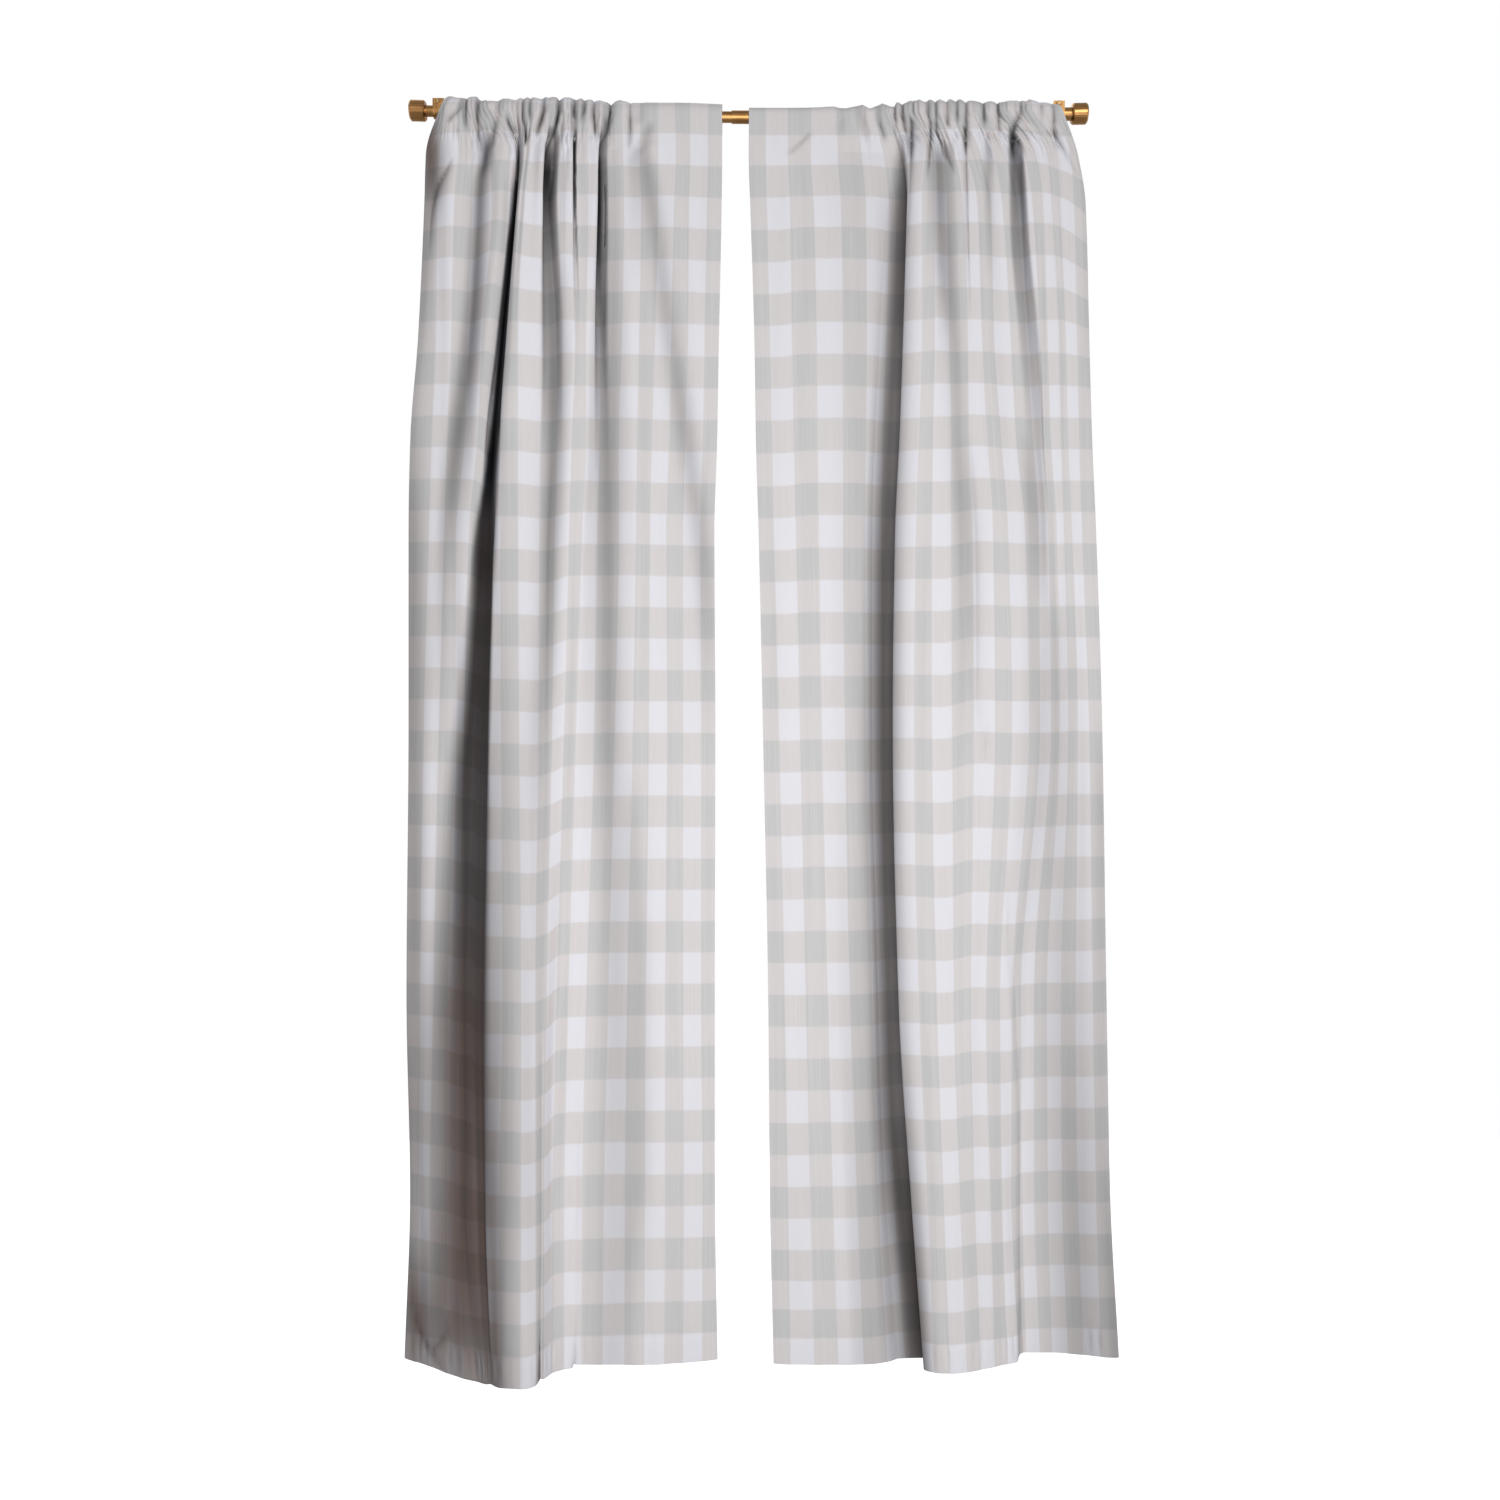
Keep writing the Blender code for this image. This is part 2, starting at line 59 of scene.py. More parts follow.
def smooth(keys: Sequence[float], values: Grid, where: Grid) -> Grid:
    """Draw smooth curves through keys, without swinging past them.

    Args:
        keys: Rising places of the keys.
        values: One row of values for each key, or a single value each.
        where: Places to read the curves at.

    Returns:
        The curves' values, one row for each place.
    """
    keys = np.asarray(keys, dtype=float)
    values = np.asarray(values, dtype=float)
    flat = values.ndim == 1
    if flat:
        values = values[:, None]
    spans = np.diff(keys)[:, None]
    slopes = np.diff(values, axis=0) / spans
    product = slopes[:-1] * slopes[1:]
    total = slopes[:-1] + slopes[1:]
    same_way = product > 0.0
    inner = np.where(same_way, 2.0 * product / np.where(same_way, total, 1.0), 0.0)
    tangents = np.vstack([slopes[:1], inner, slopes[-1:]])
    where = np.clip(np.asarray(where, dtype=float), keys[0], keys[-1])
    at = np.clip(np.searchsorted(keys, where, side="right") - 1, 0, len(keys) - 2)
    t = ((where - keys[at]) / np.diff(keys)[at])[:, None]
    rise = values[at] * (1 + 2 * t) * (1 - t) ** 2 + values[at + 1] * t * t * (3 - 2 * t)
    bend = tangents[at] * t * (1 - t) ** 2 - tangents[at + 1] * t * t * (1 - t)
    curve = rise + spans[at] * bend
    return curve[:, 0] if flat else curve


def ease(low: float, high: float, where: Grid) -> Grid:
    """Rise softly from 0 at low to 1 at high."""
    t = np.clip((where - low) / (high - low), 0.0, 1.0)
    return t * t * (3.0 - 2.0 * t)


@dataclass(frozen=True)
class Picture:
    """How places in the front picture, in pixels, lie on the real thing, in millimetres.

    The camera looks level along +Y at the cloth, so nearer cloth is seen larger.
    """

    pixel: float = 1.70
    rod_row: float = 106.9
    rod_column: float = 748.6
    axis_column: float = 750.0
    axis_row: float = 750.0
    distance: float = 2700.0
    flat_depth: float = 22.0

    def axis_x(self) -> float:
        """Give the camera's place sideways."""
        return (self.axis_column - self.rod_column) * self.pixel

    def axis_z(self) -> float:
        """Give the camera's height."""
        return (self.rod_row - self.axis_row) * self.pixel

    def sideways(self, column: Grid, depth: Grid) -> Grid:
        """Give the place sideways of cloth seen at a column, at a depth forward of the rod."""
        nearer = (depth - self.flat_depth) / self.distance
        return self.axis_x() + (column - self.axis_column) * self.pixel * (1.0 - nearer)

    def row(self, height: Grid) -> Grid:
        """Give the row at which a height is seen on the flat cloth."""
        return self.rod_row - height / self.pixel

    def height(self, row: Grid, depth: float) -> Grid:
        """Give the height of what is seen at a row, at a depth forward of the rod."""
        nearer = (depth - self.flat_depth) / self.distance
        return self.axis_z() + (self.axis_row - row) * self.pixel * (1.0 - nearer)


PICTURE = Picture()


@dataclass(frozen=True)
class RodLine:
    """The rod's centre line, which sags in the middle and sits a little higher on the left."""

    to_wall: float = 75.0
    sag: float = 8.4
    tilt: float = -0.0048
    half: float = 562.0

    def height(self, x: Grid) -> Grid:
        """Give the height of the centre line at a place sideways."""
        return self.tilt * x - self.sag * (1.0 - (x / self.half) ** 2)


ROD = RodLine()


# Heights of the tables' levels, as drops below the rod's line
LEVEL_DROPS = (0.0, 75.0, 158.5, 393.5, 558.5, 718.5, 1048.5, 1518.5, 1848.5, 2132.0)


@dataclass(frozen=True)
class Line:
    """One line of the cloth from its top to its hem.

    stripe counts the check's stripes from the inner edge, and top is the picture column of the line's
    top. Each level is a pair: picture column, and depth forward of the rod's centre line.
    """

    stripe: float
    top: float
    levels: tuple[tuple[float, float], ...]


LEFT_LINES = (
    Line(0.0, 722, ((722, 15), (722, 14), (721.5, 14), (718.7, 12), (717, 12), (714.2, 12), (715.2, 14),
         (714.6, 16), (714.8, 17), (717.5, 18))),
    Line(0.67, 708, ((708, 15.5), (708, 15), (707, 15), (704.5, 14), (703, 15), (700, 16), (701, 18),
         (701, 20), (702.5, 21), (702, 22))),
    Line(1.67, 690, ((690, 16), (690, 16), (689, 16), (688, 16), (685, 18), (683, 20), (683, 22),
         (683, 24), (684, 25), (683, 26))),
    Line(2.67, 675, ((675, 17), (676, 17), (674, 17), (671, 18), (669, 20), (666, 21), (667, 24),
         (665, 26), (665, 27), (664, 28))),
    Line(3.67, 658, ((658, 17), (658, 18), (658, 19), (655, 20), (652, 21), (650, 22), (649, 26),
         (646, 27), (645, 28), (644, 29))),
    Line(4.67, 640, ((640, 18), (640, 18), (641, 20), (639, 21), (637, 21), (636, 22), (633, 26),
         (627, 27), (625, 28), (624.4, 30))),
    Line(5.67, 622, ((622, 18), (623, 20), (624, 22), (622, 21), (618.5, 22), (619, 23), (615, 25),
         (608, 27), (604, 29), (602.5, 31))),
    Line(6.67, 604, ((604, 19), (604, 20), (605, 22), (602, 22), (600, 24), (597, 26), (594, 28),
         (586, 30), (582, 32), (580.7, 34))),
    Line(7.67, 588, ((588, 24), (588, 30), (588, 36), (586, 40), (586, 42), (582, 42), (576, 42),
         (568, 40), (564, 40), (563.6, 42))),
    Line(8.67, 575, ((575, 24), (574, 30), (575, 38), (575, 47), (572, 50), (569, 52), (564, 56),
         (556, 52), (552, 52), (550.6, 60))),
    Line(9.67, 561, ((561, 24), (561, 32), (561, 42), (560, 50), (558, 56), (555, 60), (552, 68),
         (546, 74), (544, 76), (543.5, 82))),
    Line(10.67, 548, ((548, 24), (547, 36), (546, 48), (544, 62), (540, 70), (539, 78), (538, 92),
         (535, 102), (535, 106), (535.5, 112))),
    Line(11.67, 534, ((534, 26), (530, 38), (525, 58), (518, 78), (518, 90), (518, 100), (519, 116),
         (521, 122), (521, 124), (520, 124))),
    Line(12.67, 522, ((522, 26), (522, 34), (518, 52), (507.6, 66), (501.4, 84), (500.5, 102), (501, 122),
         (502.5, 130), (499, 128), (500, 124))),
    Line(13.2, 515, ((515, 26), (520.4, 26), (517, 32), (505, 48), (498.4, 66), (494.6, 96), (488.5, 120),
         (485, 124), (486, 118), (493, 116))),
    Line(13.67, 509, ((509, 24), (519.4, 20), (516, -2), (502.5, 6), (496, 30), (493, 80), (487, 108),
         (483, 108), (485, 106), (490.5, 106))),
    Line(14.67, 498, ((498, 24), (517.4, 18), (514, -12), (500, -10), (492, 0), (488, 58), (481.5, 86),
         (476, 84), (478, 90), (486, 94))),
    Line(15.2, 492, ((492, 25), (515.4, 24), (512.4, 10), (498.4, 4), (487, 14), (483.5, 46), (477.5, 74),
         (471, 70), (472, 82), (482.5, 86))),
    Line(15.67, 487, ((487, 26), (510, 31), (508.6, 30), (495.4, 28), (484.6, 27), (479, 36), (473, 62),
         (467, 58), (467, 74), (479, 80))),
    Line(16.67, 477, ((477, 26), (489, 26), (492, 30), (482, 31), (477, 28), (469, 28), (464, 42),
         (459, 42), (460, 60), (464, 70))),
    Line(17.67, 467, ((467, 26), (473, 15), (472, 12), (467, 17), (465, 20), (456, 24), (455, 29),
         (448, 31), (447, 46), (447.6, 54))),
    Line(18.67, 459, ((457, 24), (458, 22), (454, 24), (451, 23), (447, 21), (444, 21), (439, 22),
         (433, 27), (430, 34), (431, 38))),
    Line(19.67, 452, ((446, 23), (440, 20), (437, 18), (436, 17), (432, 15), (429, 14), (424, 16),
         (420, 20), (419, 22), (417, 26))),
    Line(20.5, 446, ((440.4, 20), (426, 12), (424.4, 6), (418, 4), (410.5, 4), (408.7, 4), (408.7, 6),
         (406.6, 10), (410.2, 12), (404.6, 14))),
)

RIGHT_LINES = (
    Line(0.0, 749, ((749, 15), (748.8, 14), (750.4, 14), (754.6, 14), (756, 15), (758.8, 16), (763, 18),
         (768.4, 20), (770, 22), (773.6, 24))),
    Line(0.67, 766, ((766, 15), (766, 15), (767, 15), (770, 16), (772, 17), (774, 19), (779, 21),
         (785, 23), (788, 24), (790.8, 26))),
    Line(1.67, 788, ((788, 15), (788, 15), (790, 16), (792, 17), (794, 18), (796, 20), (800, 22),
         (806, 24), (810, 26), (814.4, 28))),
    Line(2.67, 811, ((811, 15), (811, 15), (814, 16), (817, 18), (818, 19), (819, 20), (822, 22),
         (828, 24), (833, 26), (838.5, 27))),
    Line(3.67, 837, ((837, 15), (838, 16), (841, 17), (843, 18), (843, 19), (843, 20), (845, 22),
         (850, 23), (857, 23), (863.7, 24))),
    Line(4.67, 858, ((858, 16), (862, 15), (866, 15), (867, 13), (866, 12), (865, 12), (866, 12),
         (872, 12), (878, 12), (887.3, 14))),
    Line(5.67, 874, ((874, 17), (884, 8), (889, 2), (886, -6), (883, -9), (881, -10), (881, -12),
         (886, -12), (894, -8), (905, -4))),
    Line(6.2, 884, ((884, 20), (900, 2), (908, -8), (905, -14), (901, -16), (897, -16), (896, -18),
         (903, -16), (914, -10), (926, -4))),
    Line(7.0, 893, ((893, 24), (909, 28), (907.5, 34), (903.3, 34), (899.8, 34), (895.4, 34), (893, 36),
         (899, 40), (911.5, 46), (924, 52))),
    Line(7.67, 903, ((903, 24), (925, 34), (922, 44), (922, 49), (919, 50), (916, 51), (914, 53),
         (919, 56), (928, 62), (934.4, 68))),
    Line(8.67, 915, ((915, 24), (934, 30), (935, 36), (935, 45), (933, 49), (932, 52), (932, 56),
         (937, 59), (944, 66), (950.2, 72))),
    Line(9.67, 927, ((927, 24), (944, 26), (947, 30), (949, 39), (951, 44), (951, 46), (952, 50),
         (954, 55), (960, 61), (966.7, 68))),
    Line(10.67, 939, ((939, 24), (955, 26), (963, 32), (968, 40), (969, 39), (973, 38), (974, 40),
         (971, 47), (975, 53), (981, 60))),
    Line(11.67, 951, ((951, 24), (966, 28), (977, 32), (982, 38), (987, 40), (993, 44), (995, 44),
         (986, 38), (990, 42), (994.7, 48))),
    Line(12.67, 963, ((963, 24), (980, 28), (991, 29), (994, 30), (1001, 34), (1008, 38), (1012, 42),
         (1000, 31), (1002, 31), (1007.6, 37))),
    Line(13.67, 975, ((975, 24), (993, 23), (1002, 20), (1011, 18), (1016, 22), (1025, 27), (1029, 34),
         (1012, 22), (1011, 20), (1018.4, 24))),
    Line(14.67, 986, ((986, 24), (1006, 20), (1018, 18), (1027, 20), (1033, 19), (1039, 19), (1040, 23),
         (1021, 8), (1022, 0), (1026.3, -6))),
    Line(15.67, 997, ((997, 24), (1024, 26), (1032, 28), (1040, 31), (1042, 29), (1048, 26), (1051, 18),
         (1034, 2), (1034, -8), (1039.9, -14))),
    Line(16.67, 1008, ((1008, 24), (1036, 26), (1043, 28), (1048, 26), (1051, 24), (1057, 19), (1060, 12),
         (1047, 1), (1048, -5), (1052, -12))),
    Line(17.67, 1020, ((1020, 24), (1047, 22), (1052, 22), (1059, 24), (1061, 22), (1064, 18), (1068, 12),
         (1061, 4), (1062, 0), (1067.9, -7))),
    Line(18.67, 1032, ((1032, 24), (1058, 20), (1060, 22), (1066, 20), (1068, 18), (1072, 16), (1078, 8),
         (1076, 8), (1078, 6), (1083.6, 0))),
    Line(19.67, 1050, ((1051, 24), (1070, 20), (1074, 20), (1077, 20), (1079, 16), (1082, 12), (1089, 10),
         (1093, 12), (1096, 12), (1100.9, 8))),
    Line(20.5, 1057.6, ((1062.6, 20), (1078, 12), (1085.6, 10), (1089.3, 10), (1092, 8), (1096, 6),
         (1102, 6), (1106.4, 8), (1110, 9), (1118.8, 10))),
)


# Shapes across folds, with distances in half widths
CREASE_TIP = 0.3
CREASE_FALL = 2.6
GAP_SQUARENESS = 6
STEEPNESS = 3.2
LEDGE_START, LEDGE_FULL, LEDGE_EDGE, LEDGE_END = -1.6, -0.2, 1.0, 1.12
RAMP_CURVE = 1.3
RAMP_END = 0.08

# Width of a fold window's soft rim, in stripes, and the depth at which a trough leans fully
WINDOW_RIM = 0.3
FULL_LEAN_DEPTH = 40.0


class Section(Enum):
    """Shape across a fold."""

    SOFT = "soft"
    CREASE = "sharp"
    GAP = "flat with steep sides"
    STEEP_LEFT = "steep left"
    STEEP_RIGHT = "steep right"
    LEDGE = "soft on the left, sharp on the right"
    RAMP = "rising to its right edge"

    def across(self, d: Grid) -> Grid:
        """Give the share of the fold's depth at a distance from its middle, in half widths."""
        if self is Section.SOFT:
            return np.exp(-d * d)
        if self is Section.CREASE:
            return np.exp(CREASE_TIP - np.sqrt(d * d * CREASE_FALL + CREASE_TIP ** 2))
        if self is Section.GAP:
            return np.exp(-d ** GAP_SQUARENESS)
        if self is Section.LEDGE:
            return ease(LEDGE_START, LEDGE_FULL, d) * (1.0 - ease(LEDGE_EDGE, LEDGE_END, d))
        if self is Section.RAMP:
            return np.clip(1.0 + d, 0.0, 1.0) ** RAMP_CURVE * (1.0 - ease(0.0, RAMP_END, d))
        steep_side = d < 0.0 if self is Section.STEEP_LEFT else d > 0.0
        return np.exp(-(d * np.where(steep_side, STEEPNESS, 1.0)) ** 2)


@dataclass(frozen=True)
class Fold:
    """A ridge or trough laid over the table's shape, along a path in the front picture.

    Each point of the path is: picture row, picture column, how far forward the fold stands (less than
    nothing for a trough), its half width in pixels, and how much painted shade darkens it, from 0 to 1,
    standing in for the shade in the fold. The fold stays between its two stripes. A trough's lean moves
    its floor sideways, in pixels, and its warm tint, from 0 to 1, warms the painted shade like bounced light.
    """

    section: Section
    path: tuple[tuple[float, float, float, float, float], ...]
    stripes: tuple[float, float] = (-1.0, 22.0)
    lean: float = 0.0
    warm: float = 0.0


@dataclass(frozen=True)
class Drift:
    """How far the check's bands run below their even heights along one line of the cloth.

    Each point of the path is a picture row and the drift there, in millimetres.
    """

    stripe: float
    path: tuple[tuple[float, float], ...]


# The sections' names in the tables of folds
SOFT, CREASE, GAP = Section.SOFT, Section.CREASE, Section.GAP
STEEP_LEFT, STEEP_RIGHT = Section.STEEP_LEFT, Section.STEEP_RIGHT
LEDGE, RAMP = Section.LEDGE, Section.RAMP

# In the tables of folds, the last number of each path point is painted shade, from 0 to 1
LEFT_FOLDS = (
    # Deep gaps between the columns under the header, darkened with painted shade
    Fold(GAP, ((128, 604, 0, 3, 0), (142, 603, -30, 3.2, 0.7), (160, 602.8, -50, 3.8, 1),
         (200, 602.8, -60, 4.2, 1), (246, 602.2, -50, 4.6, 0.94), (300, 601.4, -28, 5.2, 0.72),
         (340, 601.2, -15, 5.6, 0.54), (410, 602, -4, 6.6, 0.3), (500, 603, 0, 7, 0.12),
         (600, 603, 0, 8, 0)), (5.6, 7.6), -5.0),
    Fold(GAP, ((134, 574.5, 0, 1.6, 0), (143, 574.7, -24, 1.7, 0.9), (190, 574.6, -24, 1.7, 0.7),
         (230, 575, -14, 2, 0.35), (300, 576.4, -4, 2.6, 0.1), (350, 577, 0, 3, 0)), (7.9, 9.4), -2.0),
    Fold(GAP, ((126, 553, 0, 4, 0.1), (136, 553.5, -26, 5.4, 0.3), (150, 552, -40, 6, 0.8),
         (168, 551, -50, 6, 0.97), (200, 550, -42, 6, 0.88), (250, 550.4, -28, 7, 0.68),
         (340, 552, -14, 9, 0.4), (460, 552, 0, 9, 0)), (8.6, 11.6), -5.0),
    # Rounded right sides of the columns
    Fold(SOFT, ((140, 598, 0, 4, 0), (170, 597, 8, 5, 0), (260, 594, 6, 6, 0), (420, 588, 0, 8, 0)),
         (6.6, 8.6)),
    Fold(SOFT, ((140, 570, 0, 4, 0), (170, 569, 8, 5, 0), (260, 567, 5, 6, 0), (380, 565, 0, 8, 0)),
         (8.2, 10.2)),
    Fold(SOFT, ((138, 541, 0, 4, 0), (160, 541, 8, 5, 0), (260, 538, 4, 7, 0), (420, 532, 0, 8, 0)),
         (10.0, 12.6)),
    # Step of the lower folds
    Fold(STEEP_LEFT, ((430, 556, 0, 8, 0), (500, 552, -4, 10, 0.14), (580, 549, -4, 10, 0.13),
         (800, 548, -2, 9, 0.03), (900, 546, 0, 9, 0)), (7.5, 12.0)),
    Fold(STEEP_LEFT, ((960, 543, 0, 6, 0), (1060, 543, 5, 7, 0), (1200, 543, 6, 8, 0),
         (1370, 541.5, 10, 8, 0)), (7.5, 12.0)),
    Fold(CREASE, ((980, 542, 0, 2.6, 0), (1080, 541.6, -3, 3, 0.1), (1240, 541, -5, 3, 0.16),
         (1330, 539.4, -10, 3, 0.3), (1370, 538.6, -20, 3, 0.5)), (8.5, 12.0)),
    Fold(CREASE, ((1090, 579, 0, 1.8, 0), (1150, 578.8, 2.4, 2, 0), (1300, 577, 2.4, 2, 0),
         (1345, 574.6, -2, 2.2, 0.15), (1370, 573.4, -8, 2.4, 0.3)), (5.8, 8.6)),
    # Soft troughs of the lower folds
    Fold(SOFT, ((250, 556, 0, 8, 0), (290, 557, -4, 9, 0.2), (349, 557, -8, 9, 0.4),
         (412, 555.6, -10, 9, 0.55), (475, 552.6, -10, 9, 0.52), (538, 550, -9, 9, 0.48),
         (601, 549, -7, 9, 0.42), (664, 546.6, -5, 10, 0.32), (740, 541, -2, 12, 0.18),
         (820, 534, 0, 12, 0.06), (960, 530, 0, 12, 0))),
    Fold(SOFT, ((150, 611, 0, 8, 0.1), (223, 612, -3, 9, 0.22), (349, 611, -5, 12, 0.36),
         (475, 609, -7, 14, 0.46), (601, 608, -7, 14, 0.42), (727, 608, -7, 14, 0.38),
         (853, 611, -5, 15, 0.28), (1042, 614, -4, 16, 0.24), (1300, 612, -2, 20, 0.2),
         (1370, 612, 0, 20, 0.2)), (4.0, 7.6)),
    Fold(SOFT, ((146, 642, 0, 8, 0.1), (175, 648, -4, 10, 0.3), (223, 655, -4, 10, 0.32),
         (286, 663, -4, 10, 0.3), (349, 672, -4, 10, 0.3), (412, 682, -5, 11, 0.34),
         (475, 692, -5, 11, 0.3), (538, 701, -4, 11, 0.3), (610, 706, -2, 11, 0.24),
         (680, 708, 0, 11, 0.1), (760, 708, 0, 11, 0))),
    Fold(SOFT, ((760, 634, 0, 10, 0), (853, 634, 0, 10, 0.15), (979, 638, 0, 12, 0.18),
         (1168, 638, 0, 12, 0.18), (1260, 632, 0, 12, 0.1), (1340, 632, 0, 12, 0)), (2.6, 5.6)),
    # Outer part
    Fold(SOFT, ((134, 489, 0, 6, 0.22), (148, 487.5, -6, 6, 0.8), (160, 485, -10, 6.4, 0.82),
         (180, 480, -13, 6.5, 0.68), (223, 477.5, -14, 7, 0.62), (286, 474.5, -14, 8, 0.66),
         (349, 469, -14, 9, 0.64), (412, 460, -13, 10, 0.62), (475, 452, -9, 10, 0.56),
         (538, 446, -5, 10, 0.34), (620, 442, 0, 10, 0.14), (720, 440, 0, 10, 0)), (15.4, 20.2)),
    Fold(SOFT, ((150, 500, 0, 6, 0), (190, 500, 5, 6, 0), (300, 490, 5, 6, 0), (420, 480, 0, 7, 0)),
         (14.8, 17.4)),
    Fold(CREASE, ((156, 452, 0, 3, 0), (168, 447, -6, 4, 0.45), (185, 437, -10, 5, 0.6),
         (215, 431, -6, 4, 0.35), (260, 428, 0, 3, 0)), (18.0, 21.0), 0.0, 1.0),
    Fold(SOFT, ((96, 436, 0, 9, 0.4), (112, 431, 0, 11, 0.68), (130, 429, 0, 12, 0.8),
         (150, 430, -7, 12, 0.85), (176, 431, -7, 12, 0.76), (210, 428, -4, 10, 0.4),
         (330, 420, 0, 7, 0.24), (400, 413, 0, 9, 0.26), (540, 411, 0, 13, 0.46), (700, 412, 0, 15, 0.46),
         (800, 411, 0, 14, 0.42), (960, 412, 0, 15, 0.44), (1100, 412, 0, 17, 0.52),
         (1230, 412, 0, 16, 0.38), (1310, 416, 0, 20, 0.72), (1370, 416, 0, 20, 0.6)),
         (17.6, 21.0), 0.0, 1.0),
    # Slit beside the big ridge, and the dark slope that it opens into, both darkened with painted shade
    Fold(GAP, ((176, 517, 0, 2, 0.7), (204, 515.5, 0, 3, 1), (246, 512.5, -3, 5.8, 1),
         (340, 504, -4, 7.1, 1), (420, 497, -4, 7, 1), (453, 492.6, -4, 7, 1), (487, 489.4, -4, 8.2, 1),
         (527, 486, -2, 10, 0.9), (560, 484, 0, 12, 0.66), (610, 482, 0, 13, 0)), (12.65, 16.6)),
    Fold(LEDGE, ((500, 487, 0, 8, 0), (527, 485, 0, 10, 0.75), (560, 483, -2, 10, 0.95),
         (620, 480, -3, 12, 0.95), (700, 476, -3, 15, 0.94), (790, 469, -3, 19.6, 0.9),
         (916, 473, -3, 31, 0.85), (1042, 471, -3, 37, 0.66), (1168, 471, -3, 38, 0.4),
         (1300, 471, 0, 40, 0)), (12.95, 21.0), 0.0, 0.22),
    Fold(LEDGE, ((840, 470, 0, 28, 0), (916, 473, 0, 31, 0.3), (1042, 471, 0, 37, 0.72),
         (1168, 471, 0, 39, 0.81), (1231, 471, 0, 44, 0.87), (1300, 471, 0, 50, 0.85),
         (1380, 471, 0, 46, 0.6)), (13.15, 21.0), 0.0, 1.0),
    # Painted shade on the left part of the ridge
    Fold(STEEP_LEFT, ((440, 503, 0, 18, 0.06), (538, 496, 0, 22, 0.16), (664, 490, 0, 30, 0.3),
         (790, 487, 0, 34, 0.42), (916, 485, 0, 34, 0.52), (1042, 487, 0, 31, 0.62),
         (1168, 490, 0, 29, 0.64), (1294, 495, 0, 23, 0.5), (1386, 500, 0, 21, 0.5)),
         (9.6, 13.4), 0.0, 0.5),
    Fold(SOFT, ((1040, 489, 0, 6, 0), (1150, 491.5, 0, 7, 0.26), (1250, 493, 0, 9, 0.45),
         (1340, 494, 0, 9, 0.6), (1386, 496, 0, 9, 0.5)), (11.6, 13.6), 0.0, 1.0),
    # Creases low down
    Fold(CREASE, ((1240, 410, 0, 5, 0), (1290, 411, -3, 6, 0.34), (1325, 417, -5, 6.5, 0.5),
         (1345, 427, -5, 6, 0.5), (1356, 436, -3, 5, 0.3), (1368, 446, 0, 5, 0)), (17.4, 21.0), 0.0, 1.0),
    Fold(CREASE, ((1300, 457, 0, 5, 0), (1320, 451, -3, 5.4, 0.26), (1342, 437, -4, 5.4, 0.36),
         (1350, 430, 0, 5, 0)), (16.8, 19.6), 0.0, 1.0),
    Fold(SOFT, ((1230, 497, 0, 7, 0), (1300, 494, -4, 8, 0.15), (1376, 494, -4, 8, 0.15)),
         (12.0, 14.6), 0.0, 1.0),
)

